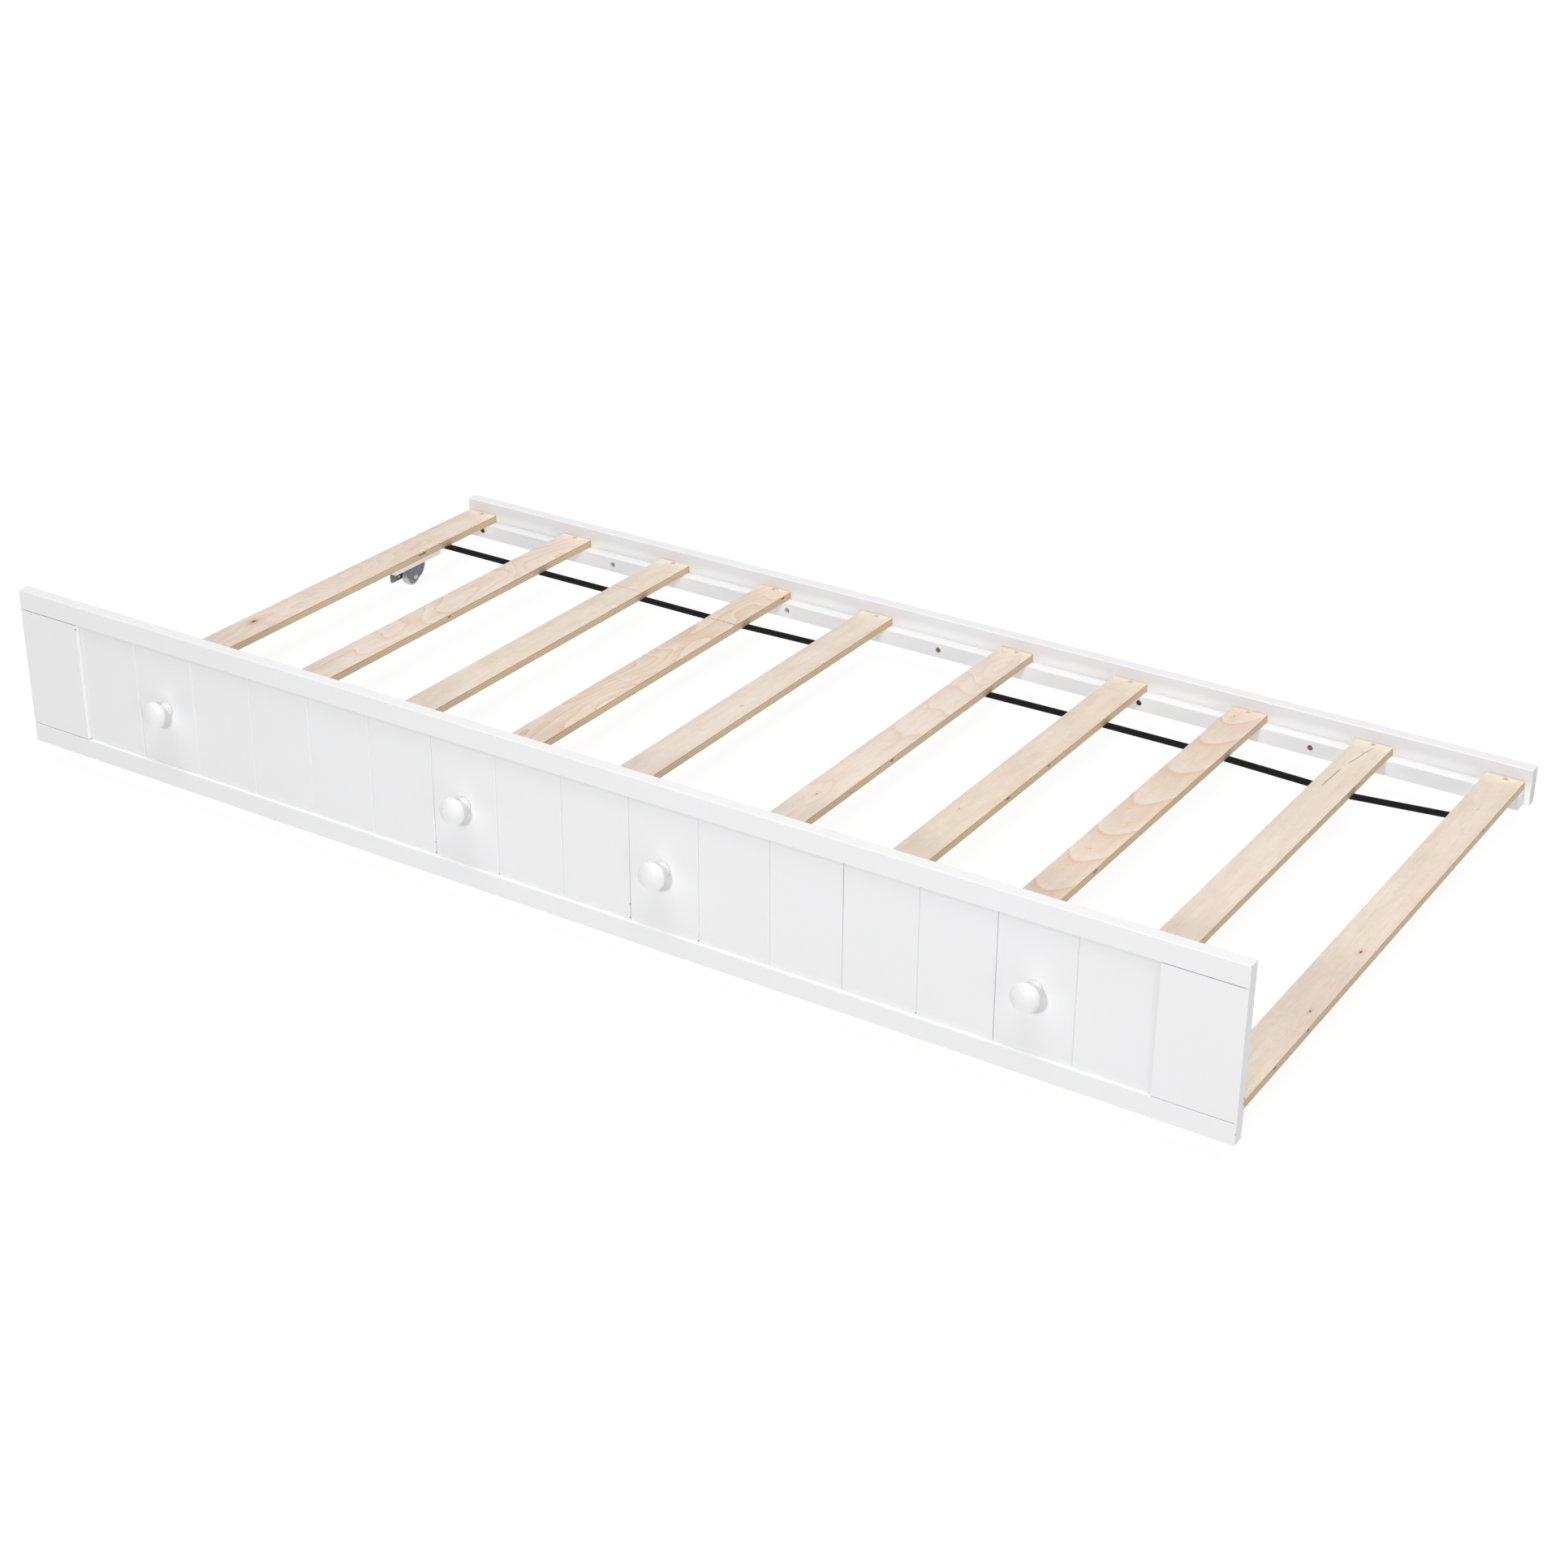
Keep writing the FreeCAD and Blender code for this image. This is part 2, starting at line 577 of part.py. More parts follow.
def axle():
    """Rear-left axle: a plain rivet closed over the plate and the cheek."""
    y = REAR_FACE - AXLE_INSET
    x0 = left_block_x() - BRACKET_THICK
    x1 = left_block_x() + CHEEK_FROM_PLATE
    shank = rod(AXLE_RADIUS, V(x0, y, AXLE_HEIGHT), V(x1, y, AXLE_HEIGHT))
    heads = []
    for x, sign in ((x0, -1), (x1, 1)):
        base = V(x, y, AXLE_HEIGHT)
        heads.append(Part.makeCone(RIVET_RADIUS, RIVET_TOP_RADIUS, RIVET_HEIGHT, base, V(sign, 0, 0)))
    return shank.fuse(heads).removeSplitter()


def to_right(shape):
    """From the rear-left caster to the rear-right one: both have their plate on the left."""
    moved = shape.copy()
    moved.translate(V(right_block_x() - left_block_x(), 0, 0))
    return moved


def four_corners(shape):
    """A rear-left caster piece at all four corners, keyed by the corner's name."""
    right = to_right(shape)
    return {
        "rear_left": shape,
        "rear_right": right,
        "front_left": mirrored_in_y(shape),
        "front_right": mirrored_in_y(right),
    }


# ---- the whole bed ----------------------------------------------------------------------
def front_and_rear(shapes):
    return Part.Compound(list(shapes) + [mirrored_in_y(shape) for shape in shapes])


def front_bottom_rail():
    """The bottom rail, bored for the front cleat's screws."""
    rail = front_rail(PANEL_BOTTOM, True)
    for x in cleat_screw_places():
        rail = rail.cut(mirrored_in_y(cleat_screw_bore(x)))
    return rail


def front_board_nodes():
    nodes = {
        "front_top_rail": front_rail(PANEL_TOP - RAIL_HEIGHT, False),
        "front_bottom_rail": front_bottom_rail(),
        "front_left_stile": front_stile(LEFT, 1),
        "front_right_stile": front_stile(-LEFT, -1),
    }
    for number in range(1, BOARD_COUNT + 1):
        nodes["panel_board_%02d" % number] = panel_board(number)
    for index, number in enumerate(KNOB_BOARDS):
        nodes["knob_%d" % (index + 1)] = knob(number)
    nodes["knob_screws"] = Part.Compound([knob_screw(number) for number in KNOB_BOARDS])
    return nodes


def slat_base_nodes():
    cleat = rear_cleat()
    nodes = {
        "rear_rail": rear_rail(),
        "rear_cleat": cleat,
        "front_cleat": mirrored_in_y(cleat),
        "cleat_screws": front_and_rear(rear_cleat_screws()),
    }
    places = range(len(SLAT_LEFTS))
    blocks = {places[0]: left_block_x(), places[-1]: right_block_x()}
    for index in places:
        nodes["slat_%02d" % (index + 1)] = slat(index, blocks.get(index))
    nodes["slat_screws"] = front_and_rear([slat_screw(index) for index in places])
    for roll, side in ((0, "left"), (1, "right")):
        webbing = strap(roll)
        nodes["rear_%s_strap" % side] = webbing
        nodes["front_%s_strap" % side] = mirrored_in_y(webbing)
    nodes["strap_staples"] = front_and_rear(rear_staples())
    return nodes


def caster_nodes():
    nodes = {}
    for corner, shape in four_corners(bracket()).items():
        nodes["caster_bracket_" + corner] = shape
    for corner, shape in four_corners(wheel()).items():
        nodes["caster_wheel_" + corner] = shape
    left_block = block(left_block_x(), False)
    right_block = block(right_block_x(), True)
    nodes["caster_block_rear_left"] = left_block
    nodes["caster_block_rear_right"] = right_block
    nodes["caster_block_front_left"] = mirrored_in_y(left_block)
    nodes["caster_block_front_right"] = mirrored_in_y(right_block)
    plate_bores = Part.Compound(bracket_screws())
    plate_screws = four_corners(plate_bores)
    for corner, bores in plate_screws.items():
        name = "caster_block_" + corner
        nodes[name] = nodes[name].cut(bores)
    nodes["caster_axles"] = Part.Compound(list(four_corners(axle()).values()))
    nodes["bracket_screws"] = Part.Compound(
        [screw for group in plate_screws.values() for screw in group.Solids])
    nodes["block_screws"] = front_and_rear(
        block_screws(left_block_x()) + block_screws(right_block_x()))
    return nodes


def main():
    os.makedirs("parts", exist_ok=True)
    nodes = {}
    nodes.update(front_board_nodes())
    nodes.update(slat_base_nodes())
    nodes.update(caster_nodes())
    for name, shape in nodes.items():
        solids = shape.Solids
        if not solids or not all(solid.isValid() for solid in solids):
            raise RuntimeError("bad solid in " + name)
        piece = solids[0] if len(solids) == 1 else Part.Compound(solids)
        piece.exportStep("parts/" + name + ".step")
    print(len(nodes), "nodes")


main()
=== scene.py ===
import math
import random

import bmesh
import bpy
import numpy as np
from mathutils import Matrix, Vector


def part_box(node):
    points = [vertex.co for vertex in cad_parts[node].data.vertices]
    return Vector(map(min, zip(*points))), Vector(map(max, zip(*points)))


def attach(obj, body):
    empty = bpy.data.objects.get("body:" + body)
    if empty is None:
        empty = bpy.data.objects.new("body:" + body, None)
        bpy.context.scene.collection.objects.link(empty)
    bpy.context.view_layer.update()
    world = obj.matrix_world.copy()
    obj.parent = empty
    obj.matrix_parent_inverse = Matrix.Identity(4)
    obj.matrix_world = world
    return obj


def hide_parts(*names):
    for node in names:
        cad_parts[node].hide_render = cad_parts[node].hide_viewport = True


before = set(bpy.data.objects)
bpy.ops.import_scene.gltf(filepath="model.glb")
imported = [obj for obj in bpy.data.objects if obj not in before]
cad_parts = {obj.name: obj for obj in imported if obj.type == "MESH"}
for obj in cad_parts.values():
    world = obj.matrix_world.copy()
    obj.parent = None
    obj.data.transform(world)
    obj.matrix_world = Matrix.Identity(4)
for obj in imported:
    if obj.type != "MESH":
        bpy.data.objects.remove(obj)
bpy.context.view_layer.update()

# Looks for a trundle bed: a white panelled front board, a white rear rail, ten birch
# plywood slats, black webbing and four small casters. Metres, in the frame of the CAD.

MM = 0.001
FRAME_BODY = "bed_frame"
CORNERS = ("rear_left", "rear_right", "front_left", "front_right")
BOARD_COUNT = 16
KNOB_COUNT = 4
SLAT_COUNT = 10

# ---- sizes of details, the rest come from the frame ----
OUTER_ROUND = 0.8 * MM          # rounding of the front board's long outer edges
SHARP_ROUND = 0.6 * MM          # rounding of other painted edges
REAR_ROUND = 1.6 * MM
JOINT_GAP = 1.0 * MM            # open line between rail and stile
TENON_INSET = Vector((20 * MM, 6 * MM, 1 * MM))
FILLER_WIDTH, FILLER_SET_BACK = 3.0 * MM, 0.15 * MM   # closes the joint gap at the board's ends
BOARD_CHAMFER = 1.5 * MM
BOARD_TONGUE = 4.0 * MM         # how far the boards reach into the rails
CLOSED_JOINT = (0.06 * MM, 0.06 * MM)
# Joints between boards that have opened: their width at the bottom and at the top, by the
# number of the board on their left.
OPEN_JOINTS = {
    1: (0.6 * MM, 0.05 * MM), 6: (0.4 * MM, 0.25 * MM), 9: (0.6 * MM, 0.05 * MM),
    12: (0.1 * MM, 0.7 * MM), 14: (0.5 * MM, 0.3 * MM),
}
KNOB_HALF_DEPTH = 11.8 * MM
KNOB_SHOULDER = 8.0 * MM        # radius round the rim of the knob's head
KNOB_BASE = 11.5 * MM
KNOB_BEAD = 4.8 * MM            # length of each of the neck's three beads
KNOB_SEGMENTS = 96
STRAP_WIDTH = 20.0 * MM
RIB_PITCH = 2.3 * MM
RIB_HEIGHT = 0.16 * MM
WARP_PITCH = 1.6 * MM
PLY_COUNT = 7
SLAT_CORNER, SLAT_EASING = 2.0 * MM, 0.7 * MM
SLAT_SCREW_DEPTH = 0.15 * MM
PAINT_LEVEL = 0.78
BASE_LEVEL = 0.855              # painted light: a lighter copy of the paint for the rear rail; the caster blocks use it too
GLOW_RADIUS = 19.0 * MM        # painted light: the boards are painted whiter just above each knob
COUNTERBORE_RADIUS = 4.4 * MM
COUNTERBORE_DEPTH = 8.0 * MM
# How each counterbore looks inside, from the left: 0 painted, 1 raw wood, 2 dark.
BORE_LOOKS = (2, 0, 0, 1, 2, 1, 1)

# ---- light ----
SURROUND = 0.11
FLOOR_GLOW = 0.92
# The key light: place seen from the front board's middle, width, and how much of full white
# it adds to a face turned to it.
KEY_PLACE = (0.85, -3.3, 1.82)
KEY_WIDTH = 0.45
KEY_LIGHT = 0.39
# Broad lights from far away: direction they come from, angular width, share of full white.
BROAD_LIGHTS = {
    "overhead": ((0.12, -0.04, 0.99), 50.0, 0.865),
    "side": ((0.85, -0.47, 0.25), 24.0, 0.11),
}


def node_box(name):
    low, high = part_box(name)
    return Vector(low), Vector(high)


PANEL_LOW, PANEL_HIGH = node_box("front_bottom_rail")[0], node_box("front_top_rail")[1]
REAR_LOW, REAR_HIGH = node_box("rear_rail")
SLATS = [node_box("slat_%02d" % n) for n in range(1, SLAT_COUNT + 1)]
SLAT_TOP = SLATS[0][1].z
SLAT_BOTTOM = SLATS[0][0].z
LEDGE = node_box("front_bottom_rail")[1].z
RAIL_FOOT = node_box("front_top_rail")[0].z
STILE_WALLS = node_box("front_left_stile")[1].x, node_box("front_right_stile")[0].x
BOARD_PITCH = (STILE_WALLS[1] - STILE_WALLS[0]) / BOARD_COUNT
BOARD_FACE = node_box("panel_board_01")[0].y


# ---- camera ----
def make_camera():
    """The camera stands at the front right, a little over the bed, with a long lens."""
    from_corner = Vector((2.8656, -2.4725, 1.7911))
    forward = Vector((-0.4658, 0.7644, -0.4459)).normalized()
    roll = math.radians(0.92)
    data = bpy.data.cameras.new("camera")
    data.lens = 63.2
    data.sensor_width = 36.0
    data.shift_x = -0.0302
    data.shift_y = -0.0186
    data.clip_end = 60.0
    camera = bpy.data.objects.new("camera", data)
    bpy.context.collection.objects.link(camera)
    level_right = forward.cross(Vector((0, 0, 1))).normalized()
    level_up = level_right.cross(forward)
    right = level_right * math.cos(roll) + level_up * math.sin(roll)
    up = right.cross(forward)
    turn = Matrix((right, up, -forward)).transposed().to_4x4()
    camera.matrix_world = Matrix.Translation(PANEL_LOW + from_corner) @ turn
    bpy.context.scene.camera = camera


# ---- light and floor ----
def make_light():
    """A white studio: a faint surround, a soft key light in front, broad ones above and aside."""
    scene = bpy.context.scene
    scene.view_settings.view_transform = "Standard"
    world = bpy.data.worlds.new("studio")
    world.use_nodes = True
    scene.world = world
    nodes, links = world.node_tree.nodes, world.node_tree.links
    nodes["Background"].inputs["Color"].default_value = (1.0, 1.0, 1.0, 1.0)
    # The backdrop is seen as white, but lights the bed only faintly.
    strength = nodes.new("ShaderNodeMapRange")
    strength.inputs["To Min"].default_value = SURROUND
    links.new(nodes.new("ShaderNodeLightPath").outputs["Is Camera Ray"], strength.inputs["Value"])
    links.new(strength.outputs[0], nodes["Background"].inputs["Strength"])
    place = Vector(KEY_PLACE)
    key = bpy.data.lights.new("key", "AREA")
    key.shape = "DISK"
    key.size = KEY_WIDTH
    key.energy = KEY_LIGHT * math.pi ** 2 * (place.length_squared + (KEY_WIDTH / 2) ** 2)
    put_lamp(key, (PANEL_LOW + PANEL_HIGH) / 2 + place, place)
    for name, (away, spread, share) in BROAD_LIGHTS.items():
        lamp = bpy.data.lights.new(name, "SUN")
        lamp.energy = share * math.pi
        lamp.angle = math.radians(spread)
        put_lamp(lamp, Vector(away) * 5.0, Vector(away))


def put_lamp(data, place, away):
    """Puts a lamp at a place, shining against the direction away."""
    lamp = bpy.data.objects.new(data.name, data)
    lamp.location = place
    lamp.rotation_euler = (-away).to_track_quat("-Z", "Y").to_euler()
    bpy.context.collection.objects.link(lamp)


def make_floor():
    bpy.ops.mesh.primitive_plane_add(size=60.0, location=(0.0, 0.0, 0.0))
    floor = bpy.context.object
    floor.name = "floor"
    floor.data.materials.append(floor_paint())


# ---- node helpers for materials ----
class Graph:
    """A material's node tree, with short calls that add a node and return its output.

    colour is the colour so far, which tint and cover paint over.
    """

    def __init__(self, name):
        self.material = bpy.data.materials.new(name)
        self.material.use_nodes = True
        self.tree = self.material.node_tree
        self.shader = self.tree.nodes["Principled BSDF"]
        self.place = self.new("ShaderNodeTexCoord").outputs["Object"]
        split = self.new("ShaderNodeSeparateXYZ")
        self.feed(split.inputs[0], self.place)
        self.axes = dict(zip("XYZ", split.outputs))
        self.colour = None

    def new(self, kind):
        return self.tree.nodes.new(kind)

    def feed(self, socket, value):
        if isinstance(value, bpy.types.NodeSocket):
            self.tree.links.new(value, socket)
        elif value is not None:
            socket.default_value = value

    def math(self, operation, a, b=None):
        node = self.new("ShaderNodeMath")
        node.operation = operation
        self.feed(node.inputs[0], a)
        self.feed(node.inputs[1], b)
        return node.outputs[0]

    def plus(self, a, b):
        return self.math("ADD", a, b)

    def minus(self, a, b):
        return self.math("SUBTRACT", a, b)

    def times(self, a, b):
        return self.math("MULTIPLY", a, b)

    def over(self, a, b):
        return self.math("DIVIDE", a, b)

    def length(self, vector):
        node = self.new("ShaderNodeVectorMath")
        node.operation = "LENGTH"
        self.feed(node.inputs[0], vector)
        return node.outputs["Value"]

    def stretched(self, scale, offset=(0.0, 0.0, 0.0)):
        node = self.new("ShaderNodeMapping")
        node.inputs["Location"].default_value = offset
        node.inputs["Scale"].default_value = scale
        self.feed(node.inputs["Vector"], self.place)
        return node.outputs[0]

    def noise(self, scale, detail=3.0, roughness=0.55, distortion=0.0, vector=None):
        node = self.new("ShaderNodeTexNoise")
        self.feed(node.inputs["Vector"], vector or self.place)
        values = (scale, detail, roughness, distortion)
        for name, value in zip(("Scale", "Detail", "Roughness", "Distortion"), values):
            node.inputs[name].default_value = value
        return node.outputs["Fac"]

    def drawn(self, scale, offset=(0.0, 0.0, 0.0), detail=3.0, roughness=0.55, distortion=0.0):
        """Noise with a scale for each axis, so that it is drawn out along some of them."""
        return self.noise(1.0, detail, roughness, distortion, self.stretched(scale, offset))

    def ragged(self, scale, amount):
        return self.times(self.noise(scale), amount)

    def ramp(self, value, stops):
        """Linear ramp through (position, grey level)."""
        node = self.new("ShaderNodeValToRGB")
        self.feed(node.inputs["Fac"], value)
        elements = node.color_ramp.elements
        while len(elements) < len(stops):
            elements.new(0.5)
        for element, (position, level) in zip(elements, stops):
            element.position = position
            element.color = (level, level, level, 1.0)
        return node.outputs["Color"]

    def mix(self, factor, a, b):
        node = self.new("ShaderNodeMix")
        node.data_type = "RGBA"
        self.feed(node.inputs[0], factor)
        for socket, value in ((node.inputs[6], a), (node.inputs[7], b)):
            self.feed(socket, value if isinstance(value, bpy.types.NodeSocket) else (*value, 1.0))
        return node.outputs[2]

    def cover(self, mask, shade):
        """Paints the shade over the colour so far, where the mask says."""
        self.colour = self.mix(mask, self.colour, shade)

    def tint(self, value, stops, shade):
        """Paints the shade over the colour so far, as much as the ramp of the value says."""
        self.cover(self.ramp(value, stops), shade)

    def band(self, value, centre, half, soft):
        """1 within half of the centre, falling to 0 over soft."""
        return self.rise(self.math("ABSOLUTE", self.minus(value, centre)), half + soft, half)

    def rise(self, value, start, end):
        """0 up to start and 1 from end on; end may be below start."""
        node = self.new("ShaderNodeMapRange")
        self.feed(node.inputs["Value"], value)
        node.inputs["From Min"].default_value = start
        node.inputs["From Max"].default_value = end
        return node.outputs[0]

    def finish(self, roughness, height=None, distance=0.0, strength=1.0, **sockets):
        """Feeds the shader; a height makes a bump that is distance deep."""
        inputs = self.shader.inputs
        self.feed(inputs["Base Color"], self.colour)
        self.feed(inputs["Roughness"], roughness)
        if height:
            node = self.new("ShaderNodeBump")
            node.inputs["Strength"].default_value = strength
            node.inputs["Distance"].default_value = distance
            self.feed(node.inputs["Height"], height)
            self.feed(inputs["Normal"], node.outputs[0])
        for name, value in sockets.items():
            inputs[name.replace("_", " ").title().replace("Ior", "IOR")].default_value = value
        return self.material


def shaded(tone, share):
    return tuple(value * share for value in tone)


def floor_paint():
    graph = Graph("floor_paint")
    graph.colour = graph.mix(graph.noise(1.5, 2.0), (0.085, 0.085, 0.085), (0.095, 0.095, 0.095))
    graph.shader.inputs["Emission Color"].default_value = (1.0, 1.0, 1.0, 1.0)
    return graph.finish(1.0, emission_strength=FLOOR_GLOW)


# ---- white paint ----
def white_paint(name, level=PAINT_LEVEL, chips=(), painted_glow_spots=(), light_shade_ramps=()):
    """Sprayed satin paint over wood: a faint orange peel, faint grain and slight unevenness.

    chips are (place, radius) where the paint is knocked off down to primer and wood. The spots
    are places painted whiter, a painted glow of light. The ramps are (axis, start, end, factor)
    of painted light or shade: past start along the axis the paint changes, and from end on by
    the factor.
    """
    graph = Graph(name)
    white = (level, level, level * 1.014)
    duller = (level * 0.99, level * 0.99, level * 0.995)
    speck = (level * 0.86, level * 0.86, level * 0.84)
    cloud = graph.ramp(graph.noise(5.0, 4.0, 0.6), [(0.35, 0.0), (0.7, 1.0)])
    graph.colour = graph.mix(cloud, white, duller)
    graph.tint(graph.noise(420.0, 1.0), [(0.75, 0.0), (0.80, 0.35)], speck)
    # Painted light: a glow painted whiter on the boards just above each knob, where the knob throws light
    # back.
    for place in painted_glow_spots:
        away = graph.over(distance_from(graph, place), GLOW_RADIUS)
        mask = graph.over(0.95, graph.plus(graph.math("POWER", away, 2.6), 1.0))
        in_front = graph.rise(graph.axes["Y"], place.y + 4 * MM, place.y + 2 * MM)
        graph.cover(graph.times(mask, in_front), (0.93, 0.93, 0.935))
    # Painted light and shade: each ramp paints the paint lighter or darker along an axis.
    for axis, start, end, factor in light_shade_ramps:
        graph.cover(graph.rise(graph.axes[axis], start, end), shaded((level, level, level), factor))
    grain = graph.drawn((40.0, 40.0, 900.0))
    height = graph.plus(graph.times(graph.noise(900.0, 2.0, 0.5), 0.5), graph.times(grain, 0.35))
    height = graph.plus(height, graph.times(graph.noise(150.0), 0.6))
    for place, radius in chips:
        height = graph.minus(height, graph.times(paint_chip(graph, place, radius), 4.0))
    rough = graph.ramp(graph.noise(22.0), [(0.3, 0.4224), (0.7, 0.552)])
    return graph.finish(rough, height, 0.00012, 0.45, coat_weight=0.06, coat_roughness=0.25)


def paint_chip(graph, place, radius):
    """Paints a ragged spot of bare wood with a darker rim, and returns the spot's mask."""
    away = graph.plus(distance_from(graph, place), graph.ragged(700.0, radius * 1.6))
    away = graph.over(away, radius * 2.2)
    spot = graph.ramp(away, [(0.62, 1.0), (0.70, 0.0)])
    graph.tint(away, [(0.66, 1.0), (0.86, 0.0)], (0.42, 0.42, 0.42))
    graph.cover(spot, (0.20, 0.15, 0.11))
    return spot


def distance_from(graph, place):
    return graph.length(graph.stretched((1.0, 1.0, 1.0), -place))


def knob_paint():
    graph = Graph("knob_paint")
    graph.colour = graph.mix(graph.noise(30.0), (0.765, 0.765, 0.765), (0.745, 0.745, 0.755))
    rough = graph.ramp(graph.noise(90.0), [(0.3, 0.26), (0.7, 0.34)])
    return graph.finish(rough, graph.noise(260.0, 2.0), 0.00010, 0.35, coat_weight=0.15,
                        coat_roughness=0.12)


# ---- birch plywood ----
# One row per slat: strength of the growth rings, rings per unit of the wandering figure, how
# far the figure is drawn out along the slat, arches per metre, and the veneer's colour.
SLAT_LOOKS = (
    (0.60, 11.0, 2.4, 0.0, (0.77, 0.665, 0.575)),
    (0.85, 13.0, 1.8, 1.5, (0.785, 0.68, 0.59)),
    (0.16, 9.0, 4.0, 0.0, (0.77, 0.68, 0.58)),
    (1.00, 18.0, 3.6, 2.0, (0.76, 0.63, 0.52)),
    (0.12, 9.0, 4.0, 0.0, (0.77, 0.68, 0.59)),
    (0.55, 14.0, 6.0, 1.0, (0.79, 0.69, 0.60)),
    (0.14, 9.0, 4.0, 0.0, (0.77, 0.66, 0.55)),
    (0.90, 1.3, 3.0, 10.2, (0.77, 0.64, 0.53)),
    (0.14, 10.0, 5.0, 0.0, (0.79, 0.69, 0.59)),
    (0.16, 9.0, 3.0, 0.0, (0.79, 0.68, 0.58)),
)
# Times the slat's number, these set its noises apart from the other slats'.
SLAT_SEED, EDGE_SEED = 7.31, 3.77
VENEER_DEPTH = 0.95
ARCH_BEND = 45.0                # how sharply the arches bend back at the slat's sides
ARCH_PLACE = 800.0 * MM         # where one of them lies, from the slat's front end
# Places on the slats: slat, across from its middle, along from its front end, then size.
KNOTS = (
    (1, -8.0, 419.0, 3.2), (10, 13.0, 414.0, 1.9), (10, 15.0, 247.0, 1.5),
    (4, 14.0, 300.0, 1.1), (6, -2.0, 405.0, 1.2), (9, -3.0, 950.0, 0.8), (10, 2.0, 870.0, 0.7),
    (8, -12.0, 958.0, 0.9), (5, 6.0, 700.0, 0.6), (3, -9.0, 520.0, 0.6),
)
SWIRLS = ((1, -10.0, 653.0, 26.0), (6, 4.0, 915.0, 30.0))
FLAMES = ((1, -4.0, 452.0, 8.0), (4, 8.0, 700.0, 9.0), (4, -9.0, 860.0, 8.0), (8, 8.0, 560.0, 8.0))
FEATHERS = ((7, -8.0, 473.0, 9.0), (8, -6.0, 470.0, 8.0), (5, 9.0, 585.0, 6.0))
# Pencil lines across a slat: slat, along from its front end, darkness.
PENCIL_LINES = ((4, 829.0, 0.75), (3, 854.0, 0.35), (4, 560.0, 0.22))
# Splits in the veneer, each from one place to another.
SPLITS = (((9, 5.0, 972.0), (9, -7.0, 905.0)), ((9, -9.0, 880.0), (9, -12.0, 820.0)))
# Voids in the slats' sides, painted near-black as painted shade inside them: slat, along from its front
# end, length.
SIDE_VOIDS = (
    (1, 790.0, 16.0), (4, 965.0, 6.0), (6, 560.0, 7.0), (7, 546.0, 8.0), (7, 669.0, 5.0),
    (8, 425.0, 10.0), (10, 211.0, 5.0), (10, 112.0, 6.0), (10, 820.0, 4.0), (2, 610.0, 4.0),
)


def on_slat(places, number):
    """The places on this slat, in the frame's metres: x, y and the rest in metres too."""
    low, high = SLATS[number - 1]
    middle = (low.x + high.x) / 2
    return [(middle + across * MM, low.y + along_slat * MM, *(value * MM for value in rest))
            for slat, across, along_slat, *rest in places if slat == number]


def ring_field(graph, number):
    """Counts growth rings: it wanders with noise, arches along the slat and bends round knots."""
    rings, drawn_out, arches = SLAT_LOOKS[number - 1][1:4]
    low, high = SLATS[number - 1]
    seed = number * SLAT_SEED
    wander = graph.drawn((14.0, 3.0, 1.0), (seed, -seed, seed), 2.0)
    field = graph.drawn((9.0, 9.0 / drawn_out, 1.0), (seed, seed, 0.0), 1.6, 0.45)
    field = graph.times(graph.plus(field, graph.times(wander, 0.10)), rings)
    if arches:
        across = graph.math("ABSOLUTE", graph.minus(graph.axes["X"], (low.x + high.x) / 2 - 4 * MM))
        bend = graph.times(graph.math("POWER", across, 2.0), ARCH_BEND)
        arch = graph.times(graph.minus(graph.axes["Y"], bend), arches)
        field = graph.plus(field, graph.minus(arch, (low.y + ARCH_PLACE) * arches))
    for places, reach, pull in ((KNOTS, 4.0, 1.4), (SWIRLS, 1.0, 4.5)):
        for x, y, radius in on_slat(places, number):
            away = knot_distance(graph, x, y, radius * reach, 0.42)
            field = graph.plus(field, graph.over(pull, graph.plus(graph.math("POWER", away, 2.0), 1.0)))
    return field


